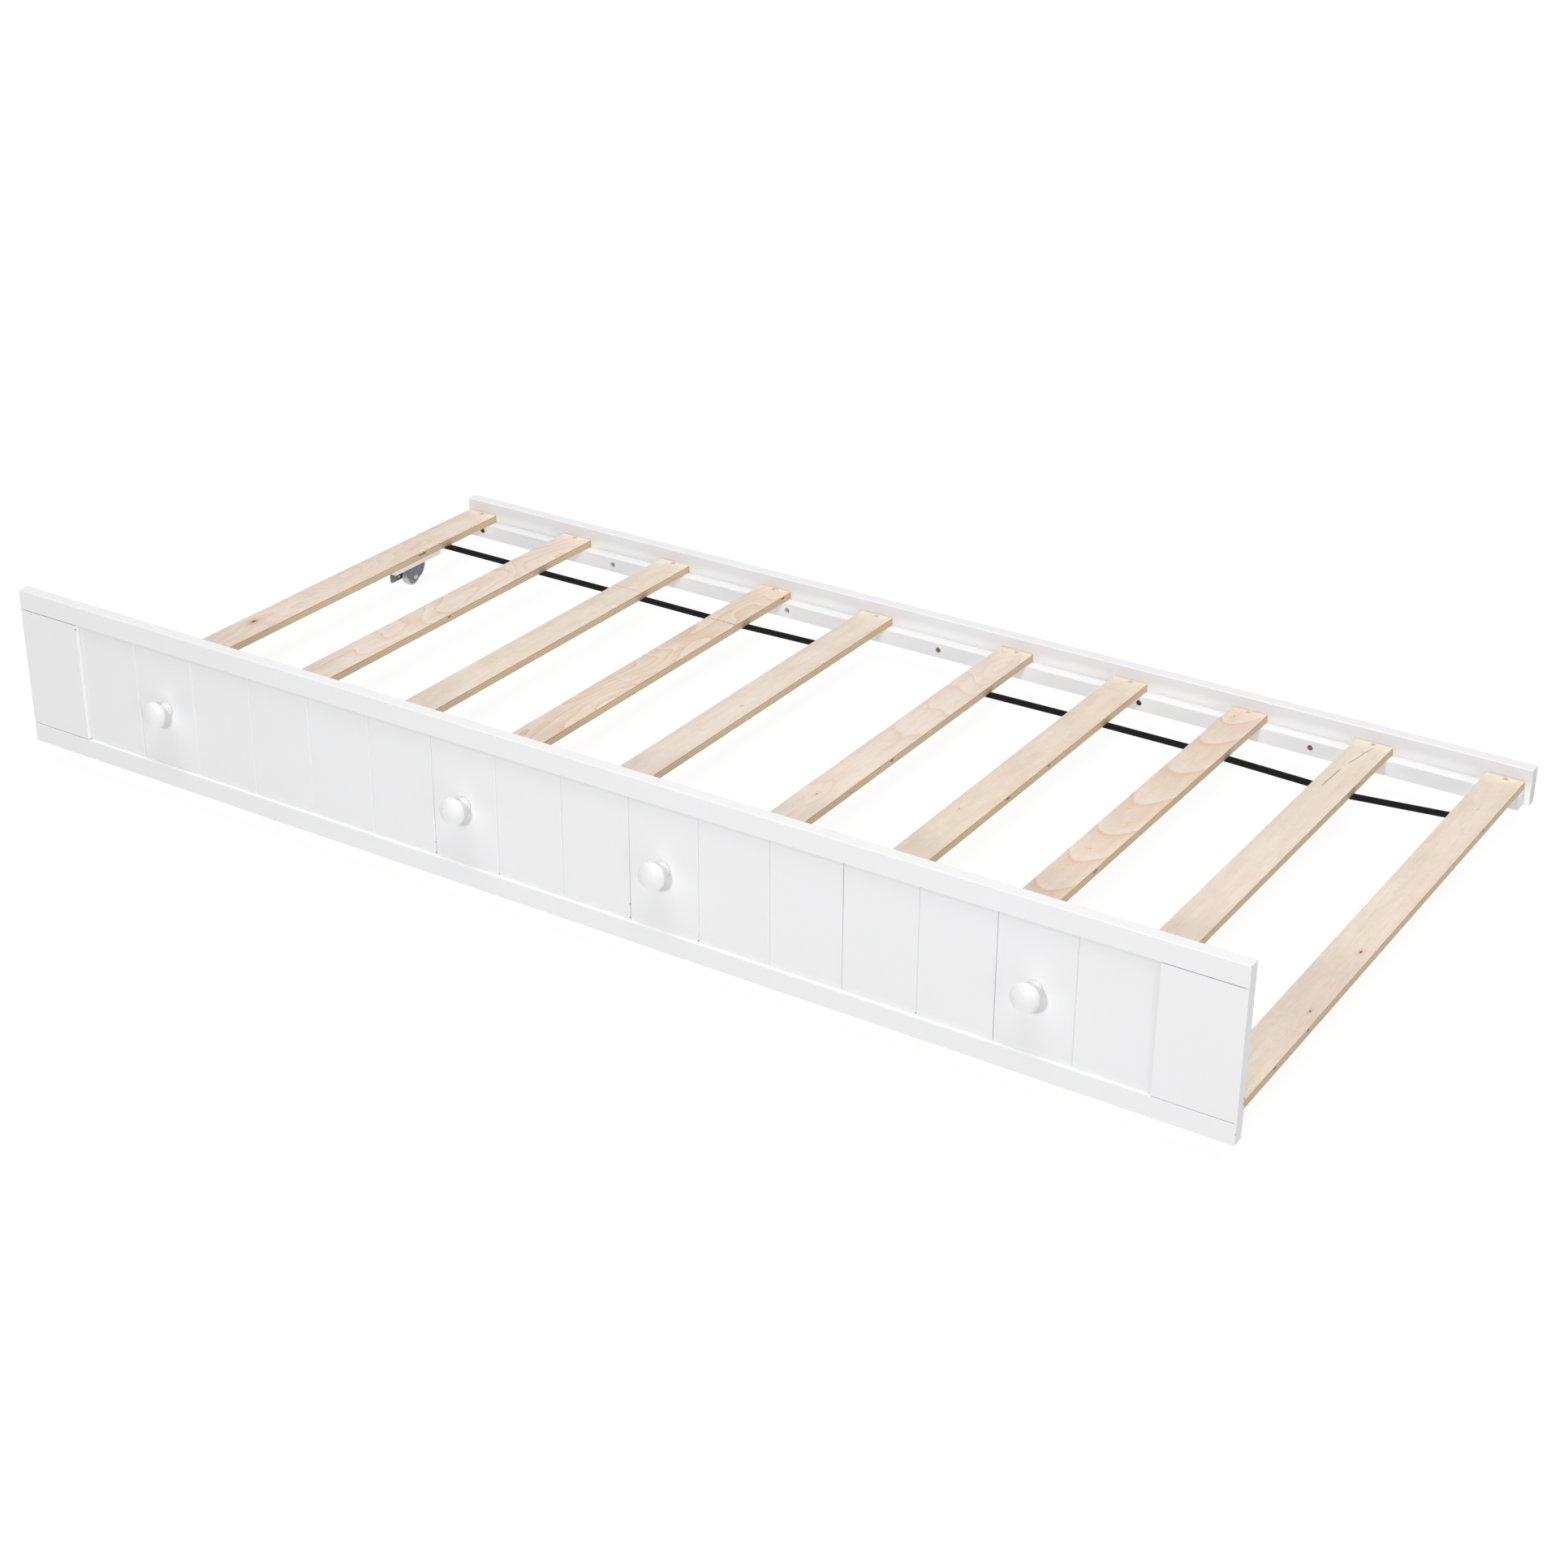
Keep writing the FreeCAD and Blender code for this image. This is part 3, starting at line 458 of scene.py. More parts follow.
def slat_face(number):
    """Rotary-cut birch veneer: ring lines, mottle, fibre streaks, flecks, knots and marks."""
    figure, veneer = SLAT_LOOKS[number - 1][0], shaded(SLAT_LOOKS[number - 1][4], VENEER_DEPTH)
    graph = Graph("slat_face_%02d" % number)
    seed = number * SLAT_SEED
    phase = graph.math("FRACT", ring_field(graph, number))
    line = graph.ramp(
        phase, [(0.0, 0.30), (0.06, 0.0), (0.55, 0.0), (0.88, 0.35), (0.96, 1.0), (1.0, 0.35)])
    chalk = graph.ramp(phase, [(0.0, 0.9), (0.22, 0.3), (0.45, 0.0)])
    fibre = graph.drawn((420.0, 16.0, 1.0), (0.0, seed, 0.0), 4.0, 0.62)
    broad = graph.drawn((60.0, 5.0, 1.0), (seed, 0.0, 0.0))
    cloud = graph.drawn((26.0, 12.0, 1.0), (seed, seed, 0.0), 4.0, 0.6)
    mottle = graph.drawn((95.0, 60.0, 1.0), (seed, 0.0, seed), 4.0, 0.65, 0.6)
    ticks = graph.drawn((170.0, 620.0, 1.0), (seed, seed, 0.0), 2.0, 0.5, 0.8)
    fleck = graph.drawn((800.0, 120.0, 1.0), (0.0, seed, 0.0), 2.0)
    deep = tuple(value * share for value, share in zip(veneer, (0.95, 0.90, 0.83)))
    graph.colour = graph.mix(graph.ramp(cloud, [(0.30, 0.0), (0.72, 1.0)]), veneer, shaded(veneer, 1.09))
    graph.tint(broad, [(0.42, 0.0), (0.75, 0.6)], deep)
    graph.tint(mottle, [(0.50, 0.0), (0.78, 0.40)], (0.72, 0.57, 0.46))
    graph.tint(mottle, [(0.26, 0.40), (0.46, 0.0)], (0.85, 0.77, 0.69))
    graph.cover(graph.times(chalk, figure * 0.5), (0.86, 0.77, 0.70))
    graph.cover(graph.times(line, figure * 0.62), (0.66, 0.42, 0.27))
    graph.tint(fibre, [(0.32, 0.20), (0.50, 0.0)], (0.58, 0.43, 0.31))
    graph.tint(fibre, [(0.55, 0.0), (0.80, 0.30)], (0.88, 0.81, 0.73))
    graph.tint(ticks, [(0.64, 0.0), (0.74, 0.26)], (0.60, 0.45, 0.34))
    graph.tint(ticks, [(0.28, 0.40), (0.38, 0.0)], (0.88, 0.82, 0.75))
    graph.tint(fleck, [(0.69, 0.0), (0.79, 0.35)], (0.50, 0.36, 0.26))
    slat_marks(graph, number, seed)
    height = graph.plus(graph.times(fibre, 0.8), graph.times(line, -0.3))
    return graph.finish(graph.ramp(fibre, [(0.3, 0.52), (0.7, 0.66)]), height, 0.00018, 0.5)


def slat_marks(graph, number, seed):
    """Flames, feathers, knots, pencil lines and splits, each at its place on this slat."""
    for x, y, size in on_slat(FLAMES, number):
        away = graph.plus(knot_distance(graph, x, y, size, 0.22), graph.ragged(90.0, 1.1))
        graph.tint(away, [(0.45, 0.75), (1.35, 0.0)], (0.66, 0.39, 0.23))
    for x, y, size in on_slat(FEATHERS, number):
        away = graph.plus(knot_distance(graph, x, y, size, 0.7), graph.ragged(60.0, 0.6))
        strokes = graph.drawn((120.0, 420.0, 1.0), (seed, 0.0, 0.0), 1.0, 0.5, 1.4)
        mask = graph.times(graph.ramp(strokes, [(0.52, 0.0), (0.60, 1.0)]),
                           graph.ramp(away, [(0.7, 0.8), (1.4, 0.0)]))
        graph.cover(mask, (0.40, 0.24, 0.13))
    for x, y, radius in on_slat(KNOTS, number):
        knot(graph, x, y, radius)
    for slat, along_slat, dark in PENCIL_LINES:
        if slat == number:
            pencil_line(graph, SLATS[number - 1][0].y + along_slat * MM, dark)
    for split in SPLITS:
        ends = on_slat(split, number)
        if ends:
            split_line(graph, *ends)


def split_line(graph, start, end):
    """A hairline split in the veneer that runs a little across the grain."""
    slope = (end[0] - start[0]) / (end[1] - start[1])
    wobble = graph.ragged(55.0, 3.5 * MM)
    drift = graph.plus(graph.minus(graph.axes["X"], graph.times(graph.axes["Y"], slope)), wobble)
    mask = graph.band(drift, start[0] - start[1] * slope + 1.75 * MM, 0.3 * MM, 0.7 * MM)
    half_run = abs(end[1] - start[1]) / 2
    run = graph.band(graph.axes["Y"], (start[1] + end[1]) / 2, half_run - 6 * MM, 12 * MM)
    graph.cover(graph.times(graph.times(mask, run), 0.85), (0.24, 0.12, 0.06))


def knot_distance(graph, x, y, radius, squeeze=0.45):
    """Distance from a knot, in radii, drawn out along the grain."""
    scale = (1.0 / radius, squeeze / radius, 0.0)
    return graph.length(graph.stretched(scale, (-x / radius, -y * squeeze / radius, 0.0)))


def knot(graph, x, y, radius):
    """A dark knot in a warm halo; a smaller knot has a fainter one."""
    away = graph.over(graph.plus(knot_distance(graph, x, y, radius), graph.ragged(420.0, 0.8)), 5.0)
    warmth = min(1.0, radius / (3 * MM))
    graph.tint(away, [(0.22, 0.75 * warmth), (0.60, 0.18 * warmth), (1.0, 0.0)], (0.56, 0.28, 0.15))
    graph.tint(away, [(0.16, 1.0), (0.26, 0.0)], (0.10, 0.05, 0.03))


def pencil_line(graph, place, dark):
    wobble = graph.times(graph.noise(60.0, 2.0), 2.2 * MM)
    mask = graph.band(graph.plus(graph.axes["Y"], wobble), place, 0.7 * MM, 1.0 * MM)
    mask = graph.times(mask, graph.ramp(graph.noise(260.0), [(0.38, 0.25), (0.62, 1.0)]))
    graph.cover(graph.times(mask, dark), (0.13, 0.12, 0.12))


def ply_edge(number):
    """Sawn edge of the plywood: plies alternate in tone, with glue lines and a few voids painted
    near-black, a painted shade inside them.
    """
    graph = Graph("ply_side_%02d" % number)
    seed = number * EDGE_SEED
    thick = SLAT_TOP - SLAT_BOTTOM
    waver = graph.minus(graph.drawn((8.0, 8.0, 1.0), (seed, seed, 0.0), 2.0), 0.5)
    depth = graph.plus(graph.minus(graph.axes["Z"], SLAT_BOTTOM), graph.times(waver, 0.9 * MM))
    plies = graph.times(depth, PLY_COUNT / thick)
    odd = graph.math("PINGPONG", graph.math("FLOOR", plies), 1.0)
    cross = graph.drawn((900.0, 900.0, 500.0), detail=2.0)
    long_fibre = graph.drawn((30.0, 30.0, 1500.0), (seed, 0.0, 0.0))
    light_ply = graph.mix(long_fibre, (0.69, 0.53, 0.36), (0.77, 0.61, 0.43))
    dark_ply = graph.mix(cross, (0.54, 0.38, 0.22), (0.64, 0.47, 0.29))
    graph.colour = graph.mix(odd, light_ply, dark_ply)
    glue = graph.ramp(graph.math("FRACT", plies), [(0.0, 0.7), (0.14, 0.0), (0.86, 0.0), (1.0, 0.7)])
    patchy = graph.ramp(graph.drawn((26.0, 26.0, 260.0), (seed, 0.0, 0.0)), [(0.35, 0.35), (0.60, 1.0)])
    graph.cover(graph.times(glue, patchy), (0.34, 0.205, 0.11))
    first_line = graph.band(depth, thick * (1 - 1 / PLY_COUNT), 0.22 * MM, 0.35 * MM)
    scorched = graph.ramp(graph.drawn((18.0, 18.0, 40.0), (0.0, seed, 0.0)), [(0.40, 0.25), (0.62, 1.0)])
    graph.cover(graph.times(first_line, scorched), (0.33, 0.16, 0.07))
    tone = graph.drawn((5.0, 5.0, 30.0), (seed, seed, 0.0))
    graph.tint(tone, [(0.4, 0.0), (0.7, 0.25)], (0.44, 0.33, 0.21))
    holes = graph.drawn((40.0, 40.0, 700.0), (seed * 2, seed, 0.0), 1.0)
    void_shade = graph.times(graph.ramp(holes, [(0.775, 0.0), (0.795, 1.0)]),
                       graph.band(depth, thick / 2, 3.6 * MM, 0.4 * MM))
    for slat, along_slat, length in SIDE_VOIDS:
        if slat == number:
            middle = SLATS[number - 1][0].y + along_slat * MM
            run = graph.band(graph.axes["Y"], middle, length * MM / 2, 2 * MM)
            spot = graph.times(run, graph.band(depth, thick * 0.68, 0.9 * MM, 0.8 * MM))
            spot = graph.times(spot, graph.ramp(graph.noise(300.0, 2.0), [(0.35, 0.5), (0.55, 1.0)]))
            void_shade = graph.math("MAXIMUM", void_shade, spot)
    # Painted shade: the voids are painted near-black, the shade inside the gaps.
    graph.cover(void_shade, (0.045, 0.025, 0.015))
    height = graph.minus(cross, graph.plus(void_shade, graph.times(glue, 0.5)))
    return graph.finish(0.72, height, 0.00025, 0.6)


def raw_wood(name, tone):
    graph = Graph(name)
    grain = graph.drawn((600.0, 600.0, 120.0))
    graph.colour = graph.mix(grain, shaded(tone, 0.6), tone)
    return graph.finish(0.8, grain, 0.0003, 0.7)


# ---- webbing, steel and plastic ----
def black_webbing():
    graph = Graph("black_webbing")
    warp = graph.math("SINE", graph.times(graph.axes["Y"], 2 * math.pi / WARP_PITCH))
    weft = graph.math("SINE", graph.times(graph.axes["X"], 2 * math.pi / (RIB_PITCH / 2)))
    weave = graph.times(warp, weft)
    fuzz = graph.noise(1400.0, 2.0)
    shade = graph.ramp(graph.plus(graph.times(weave, 0.3), fuzz), [(0.2, 0.0), (1.0, 1.0)])
    graph.colour = graph.mix(shade, (0.003, 0.003, 0.0032), (0.012, 0.012, 0.0125))
    height = graph.plus(weave, graph.times(fuzz, 0.7))
    return graph.finish(0.8, height, 0.00016, 0.7, specular_ior_level=0.18)


def steel(name, tone, roughness, metallic=0.85):
    """Zinc-plated steel: cloudy, with fine drawing lines and small dark spots."""
    graph = Graph(name)
    cloud = graph.noise(90.0, 4.0, 0.65)
    shares = graph.ramp(cloud, [(0.3, 0.0), (0.7, 1.0)])
    graph.colour = graph.mix(shares, shaded(tone, 1.12), shaded(tone, 0.82))
    graph.tint(graph.noise(700.0, 2.0), [(0.68, 0.0), (0.75, 0.5)], shaded(tone, 0.4))
    rough = graph.ramp(cloud, [(0.3, roughness * 0.8), (0.7, roughness * 1.25)])
    return graph.finish(rough, graph.drawn((300.0, 40.0, 1600.0)), 0.00006, 0.4, metallic=metallic)


def grey_plastic():
    graph = Graph("grey_plastic")
    scuff = graph.drawn((300.0, 900.0, 900.0))
    graph.colour = graph.mix(graph.noise(130.0), (0.50, 0.49, 0.475), (0.56, 0.55, 0.53))
    graph.tint(scuff, [(0.60, 0.0), (0.75, 0.35)], (0.34, 0.33, 0.32))
    return graph.finish(0.42, scuff, 0.00008, 0.4)


# ---- mesh helpers ----
def add_piece(node, mesh, materials, body=FRAME_BODY, ending="_piece"):
    """Puts a mesh in the scene, in place of a CAD node, riding on its body."""
    piece = bpy.data.objects.new(node + ending, mesh)
    for material in materials:
        mesh.materials.append(material)
    bpy.context.collection.objects.link(piece)
    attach(piece, body)
    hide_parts(node)
    return piece


def smooth(mesh, degrees=40.0):
    mesh.polygons.foreach_set("use_smooth", [True] * len(mesh.polygons))
    mesh.set_sharp_from_angle(angle=math.radians(degrees))


def weighted_normals(piece):
    modifier = piece.modifiers.new("weighted_normals", "WEIGHTED_NORMAL")
    modifier.keep_sharp = True
    modifier.weight = 100


def finished(name, work):
    mesh = bpy.data.meshes.new(name)
    work.to_mesh(mesh)
    work.free()
    return mesh


def box_mesh(name, low, high, bevel, segments=3, wide_edges=None, wide_bevel=0.0):
    """A bar with all its edges rounded; wide_edges(edge) picks edges that are rounded more."""
    work = bmesh.new()
    bmesh.ops.create_cube(work, size=1.0)
    size, middle = high - low, (high + low) / 2
    bmesh.ops.scale(work, vec=size, verts=work.verts)
    bmesh.ops.translate(work, vec=middle, verts=work.verts)
    sharp = work.edges[:]
    if wide_edges:
        wide = [edge for edge in work.edges if wide_edges(edge)]
        bmesh.ops.bevel(work, geom=wide, offset=wide_bevel, segments=5, profile=0.5, affect="EDGES")
        sharp = [edge for edge in work.edges if edge.calc_face_angle() > math.radians(60.0)]
    bmesh.ops.bevel(work, geom=sharp, offset=bevel, segments=segments, profile=0.5, affect="EDGES")
    mesh = finished(name, work)
    smooth(mesh)
    return mesh


def loft_mesh(name, rings, caps=True):
    """A skin through rings that have as many places each; a ring of one place is a tip."""
    work = bmesh.new()
    rows = [[work.verts.new(place) for place in ring] for ring in rings]
    for first, second in zip(rows, rows[1:]):
        for k in range(max(len(first), len(second))):
            corners = [first[k % len(first)], first[(k + 1) % len(first)],
                       second[(k + 1) % len(second)], second[k % len(second)]]
            unique = list(dict.fromkeys(corners))
            if len(unique) > 2:
                work.faces.new(unique)
    for row in (rows[0], rows[-1]):
        if caps and len(row) > 2:
            work.faces.new(row)
    bmesh.ops.recalc_face_normals(work, faces=work.faces)
    return finished(name, work)


def prism_mesh(name, lower, upper, low_z, high_z):
    """An upright prism between two outlines of (x, y) with as many points."""
    return loft_mesh(name, [[(x, y, low_z) for x, y in lower], [(x, y, high_z) for x, y in upper]])


def lathe_mesh(name, profile, origin, axis, segments, caps=True):
    """Turns a profile of (radius, distance along the axis) round the axis."""
    axis = Vector(axis).normalized()
    side = axis.orthogonal().normalized()
    other = axis.cross(side)
    turns = [2 * math.pi * k / segments for k in range(segments)]
    ways = [side * math.cos(turn) + other * math.sin(turn) for turn in turns]
    rings = [[Vector(origin) + axis * out + way * radius for way in (ways if radius else ways[:1])]
             for radius, out in profile]
    mesh = loft_mesh(name, rings, caps)
    smooth(mesh, 35.0)
    return mesh


def arc_points(centre, radius, start, end, count):
    """Points of (x, y) on an arc, angles in degrees."""
    turns = [math.radians(start + (end - start) * k / count) for k in range(count + 1)]
    return [(centre[0] + radius * math.cos(turn), centre[1] + radius * math.sin(turn)) for turn in turns]


def joined(name, meshes):
    """One mesh from several, with their material indices kept."""
    work = bmesh.new()
    for mesh in meshes:
        work.from_mesh(mesh)
        bpy.data.meshes.remove(mesh)
    return finished(name, work)


def cut(mesh, tools, looks=None):
    """Removes the tool meshes from the mesh; each cut takes a material index, 1 if not given."""
    for tool, look in zip(tools, looks or [1] * len(tools)):
        tool.polygons.foreach_set("material_index", [look] * len(tool.polygons))
    target = bpy.data.objects.new("target", mesh)
    cutter = bpy.data.objects.new("cutter", joined("cutter", tools))
    for item in (target, cutter):
        bpy.context.collection.objects.link(item)
    modifier = target.modifiers.new("cut", "BOOLEAN")
    modifier.operation = "DIFFERENCE"
    modifier.solver = "EXACT"
    modifier.object = cutter
    seen = target.evaluated_get(bpy.context.evaluated_depsgraph_get())
    result = bpy.data.meshes.new_from_object(seen)
    result.name = mesh.name
    bpy.data.objects.remove(target)
    bpy.data.objects.remove(cutter)
    return result


# ---- front board ----
def make_rails(paints):
    """Both rails: their outer long edges are well rounded, the edges along the boards are not."""
    for name, paint in paints.items():
        low, high = node_box(name)
        outer = high.z if "top" in name else low.z

        def is_outer(edge):
            return all(abs(vertex.co.z - outer) < 1e-6 for vertex in edge.verts)

        mesh = box_mesh(name, low, high, SHARP_ROUND, 3, is_outer, OUTER_ROUND)
        weighted_normals(add_piece(name, mesh, [paint]))


def make_stiles(paint, left_lit_paint):
    """Stiles with an open line at each shoulder, a tenon behind it and a filler at the end."""
    bottom, top = LEDGE + JOINT_GAP, RAIL_FOOT - JOINT_GAP
    # The left stile takes the paint with painted light on its inner wall.
    for name, material in (("front_left_stile", left_lit_paint), ("front_right_stile", paint)):
        low, high = node_box(name)
        body = box_mesh(name, Vector((low.x, low.y, bottom)), Vector((high.x, high.y, top)), SHARP_ROUND, 2)
        tenon = box_mesh(name, low + TENON_INSET, high - TENON_INSET, SHARP_ROUND, 1)
        start = high.x - FILLER_SET_BACK - FILLER_WIDTH if "right" in name else low.x + FILLER_SET_BACK
        filler = box_mesh(name, Vector((start, low.y + 1 * MM, bottom - 3 * MM)),
                          Vector((start + FILLER_WIDTH, high.y - 0.1 * MM, top + 3 * MM)), 0.2 * MM, 1)
        mesh = joined(name, [body, tenon, filler])
        weighted_normals(add_piece(name, mesh, [material]))


def board_outline(x0, x1, y0, y1, gap, number):
    """A board seen from above: chamfered front edges, a groove on its left, a tongue on its right."""
    mid, tongue = (y0 + y1) / 2, 1.2 * MM
    outline = [(x0, y0 + BOARD_CHAMFER), (x0 + BOARD_CHAMFER, y0)]
    outline += [(x1 - BOARD_CHAMFER, y0), (x1, y0 + BOARD_CHAMFER)]
    if number < BOARD_COUNT:
        tip = x1 + gap + 1 * MM
        outline += [(x1, mid - tongue), (tip, mid - tongue), (tip, mid + tongue), (x1, mid + tongue)]
    outline += [(x1, y1), (x0, y1)]
    if number > 1:
        deep, slack = x0 + 4 * MM, tongue + 0.3 * MM
        outline += [(x0, mid + slack), (deep, mid + slack), (deep, mid - slack), (x0, mid - slack)]
    return outline


def make_boards(paint):
    """Sixteen upright tongue-and-groove boards; a few joints have opened."""
    for number in range(1, BOARD_COUNT + 1):
        name = "panel_board_%02d" % number
        low, high = node_box(name)
        before = OPEN_JOINTS.get(number - 1, CLOSED_JOINT)
        after = OPEN_JOINTS.get(number, CLOSED_JOINT)
        outlines = []
        for end in (0, 1):
            x0 = STILE_WALLS[0] + (number - 1) * BOARD_PITCH + before[end] / 2
            x1 = STILE_WALLS[0] + number * BOARD_PITCH - after[end] / 2
            outlines.append(board_outline(x0, x1, low.y, high.y, after[end], number))
        mesh = prism_mesh(name, *outlines, LEDGE - BOARD_TONGUE, RAIL_FOOT + BOARD_TONGUE)
        add_piece(name, mesh, [paint])


def knob_profile(reach, radius):
    """From the board outwards: a neck of three beads, then a bun-shaped head."""
    profile = [(0.0, 0.0)]
    for bead in range(3):
        crown = KNOB_BASE - bead * 0.35 * MM
        middle = (bead + 0.5) * KNOB_BEAD
        for k in range(9):
            t = k / 4 - 1
            profile.append((crown - 0.7 * MM * t * t, middle + t * (KNOB_BEAD / 2 - 0.35 * MM)))
        profile.append((crown - 1.3 * MM, middle + KNOB_BEAD / 2))
    neck = profile[-1][0] + 0.2 * MM
    centre = reach - KNOB_HALF_DEPTH
    flat = radius - KNOB_SHOULDER
    cap = (flat ** 2 + KNOB_HALF_DEPTH ** 2 - KNOB_SHOULDER ** 2) / (2 * (KNOB_HALF_DEPTH - KNOB_SHOULDER))
    set_back = cap - KNOB_HALF_DEPTH
    turn = math.degrees(math.atan2(set_back, flat))
    start = -math.degrees(math.acos(neck / cap))
    head = arc_points((0.0, centre + set_back), cap, start, -turn, 12)
    head += arc_points((flat, centre), KNOB_SHOULDER, -turn, turn, 20)[1:]
    head += arc_points((0.0, centre - set_back), cap, turn, 90.0, 24)[1:-1]
    return profile + head + [(0.0, reach)]


def make_knobs(paint):
    for number in range(1, KNOB_COUNT + 1):
        name = "knob_%d" % number
        low, high = node_box(name)
        centre = ((low.x + high.x) / 2, BOARD_FACE, (low.z + high.z) / 2)
        profile = knob_profile(BOARD_FACE - low.y, (high.z - low.z) / 2)
        mesh = lathe_mesh(name, profile, centre, (0, -1, 0), KNOB_SEGMENTS)
        add_piece(name, mesh, [paint])


# ---- rear rail and cleats ----
def make_rear_rail(paint):
    mesh = box_mesh("rear_rail", REAR_LOW, REAR_HIGH, REAR_ROUND, 4)
    weighted_normals(add_piece("rear_rail", mesh, [paint]))


def make_cleats(paint):
    """Battens with a counterbore at each screw, some painted inside and some raw."""
    materials = [paint, raw_wood("bore_wood", (0.78, 0.56, 0.44)),
                 raw_wood("dark_bore", (0.30, 0.18, 0.11))]
    profile = [(0.0, -2 * MM), (COUNTERBORE_RADIUS, -2 * MM),
               (COUNTERBORE_RADIUS, COUNTERBORE_DEPTH), (0.0, COUNTERBORE_DEPTH)]
    screws = sorted(((low + high) / 2 for low, high in solid_boxes("cleat_screws")), key=lambda at: at.x)
    for name, inward in (("rear_cleat", 1), ("front_cleat", -1)):
        low, high = node_box(name)
        mouth = low.y if inward > 0 else high.y
        tools = [lathe_mesh("bore", profile, (at.x, mouth, at.z), (0, inward, 0), 32)
                 for at in screws if at.y * inward > 0]
        mesh = cut(box_mesh(name, low, high, SHARP_ROUND, 2), tools, BORE_LOOKS)
        smooth(mesh, 30.0)
        add_piece(name, mesh, materials)


# ---- slats ----
def slat_outline(low, high, corner, steps=5):
    points = []
    for cx, cy, start in (
        (high.x - corner, high.y - corner, 0), (low.x + corner, high.y - corner, 90),
        (low.x + corner, low.y + corner, 180), (high.x - corner, low.y + corner, 270),
    ):
        points += arc_points((cx, cy), corner, start, start + 90, steps)
    return points


def make_slat(number):
    """A plywood slat with rounded corners, eased long edges and countersinks for its screws."""
    name = "slat_%02d" % number
    low, high = SLATS[number - 1]
    outline = slat_outline(low, high, SLAT_CORNER)
    work = bmesh.new()
    work.from_mesh(prism_mesh(name, outline, outline, low.z, high.z))
    rims = [edge for edge in work.edges if abs(edge.verts[0].co.z - edge.verts[1].co.z) < 1e-7]
    bmesh.ops.bevel(work, geom=rims, offset=SLAT_EASING, segments=2, profile=0.6, affect="EDGES")
    profile = [(0.0, -3.2 * MM), (1.9 * MM, -3.0 * MM), (4.15 * MM, -0.35 * MM), (4.3 * MM, 1 * MM),
               (0.0, 1 * MM)]
    tools = [lathe_mesh("sink", profile, (x, y, high.z), (0, 0, 1), 32)
             for x, y in slat_screw_places(number)]
    mesh = cut(finished(name, work), tools)
    for polygon in mesh.polygons:       # veneer on top and underneath, plies everywhere else
        polygon.material_index = 0 if abs(polygon.normal.z) > 0.8 else 1
    smooth(mesh, 35.0)
    add_piece(name, mesh, [slat_face(number), ply_edge(number)])


def slat_screw_places(number):
    """Where the slat's two screws stand, as (x, y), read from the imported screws."""
    low, high = SLATS[number - 1]
    middles = [(start + end) / 2 for start, end in solid_boxes("slat_screws")]
    return [(middle.x, middle.y) for middle in middles if low.x < middle.x < high.x]


# ---- webbing ----
def strap_line(node, step):
    """The strap's centre line as (x, y) at equal steps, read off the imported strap."""
    points = np.array([vertex.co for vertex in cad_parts[node].data.vertices])
    xs = np.unique(np.round(points[:, 0], 5))
    ys = []
    for x in xs:
        there = points[np.abs(points[:, 0] - x) < 1e-5, 1]
        ys.append((there.min() + there.max()) / 2)
    line = np.linspace(xs[0], xs[-1], int((xs[-1] - xs[0]) / step))
    return line, np.interp(line, xs, ys)


def make_strap(node, paint):
    """Flat ribbed webbing, pulled tight under its five slats."""
    low, high = node_box(node)
    half_width, half_thick = STRAP_WIDTH / 2, (high.z - low.z) / 2
    line, middles = strap_line(node, RIB_PITCH / 6)
    across = np.linspace(-1, 1, 15)
    section = [(t * half_width, 1.0) for t in across] + [(t * half_width, -1.0) for t in across[::-1]]
    rows = []
    for x, y in zip(line, middles):
        rib = RIB_HEIGHT * (math.cos(2 * math.pi * (x - line[0]) / RIB_PITCH) - 1)
        row = []
        for away, side in section:
            selvedge = 1.0 - max(0.0, (abs(away) / half_width - 0.93) / 0.07) ** 2 * 0.75
            row.append((x, y + away, (low.z + high.z) / 2 + side * (half_thick + rib) * selvedge))
        rows.append(row)
    mesh = loft_mesh(node, rows)
    smooth(mesh, 60.0)
    piece = add_piece(node, mesh, [paint], ending="_webbing")


# ---- screws ----
def cross_cutter(size, depth):
    """The two bars of a driver recess, tapering downwards from just above the origin."""
    up = Vector((0, 0, 1))
    ends = ((0.4 * MM, size, 0.36 * size), (-depth, size * 0.35, 0.18 * size))
    corners = ((1, 1), (-1, 1), (-1, -1), (1, -1))
    side = up.orthogonal().normalized()
    other = up.cross(side)
    return [loft_mesh("cross", [[long_way * (a * reach) + short_way * (b * wide) + up * out
                                 for a, b in corners] for out, reach, wide in ends])
            for long_way, short_way in ((side, other), (other, side))]


def head_mesh(kind):
    """A screw with its head's outer face at the origin, facing +Z."""
    if kind == "flat":
        profile = [(0.0, -24 * MM), (0.9 * MM, -22 * MM), (1.6 * MM, -2.7 * MM), (3.85 * MM, -0.35 * MM),
                   (3.95 * MM, -0.1 * MM), (3.8 * MM, 0.0), (0.0, 0.0)]
    else:
        profile = [(0.0, -14 * MM), (1.8 * MM, -14 * MM), (1.8 * MM, -2.5 * MM), (3.9 * MM, -2.5 * MM)]
        profile += arc_points((2.6 * MM, -1.4 * MM), 1.3 * MM, 0, 75, 6)
        profile += [(0.0, 0.0)]
    mesh = lathe_mesh("head", profile, (0, 0, 0), (0, 0, 1), 40)
    for tool in cross_cutter(2.1 * MM, 1.9 * MM):
        mesh = cut(mesh, [tool])
    return mesh


def scattered(name, source, places):
    """Copies of one mesh, each at (place, facing direction, turn in degrees)."""
    meshes = []
    for place, facing, turn in places:
        copy = source.copy()
        rotation = facing.to_track_quat("Z", "Y").to_matrix().to_4x4()
        copy.transform(Matrix.Translation(place) @ rotation @ Matrix.Rotation(math.radians(turn), 4, "Z"))
        meshes.append(copy)
    mesh = joined(name, meshes)
    smooth(mesh, 35.0)
    return mesh


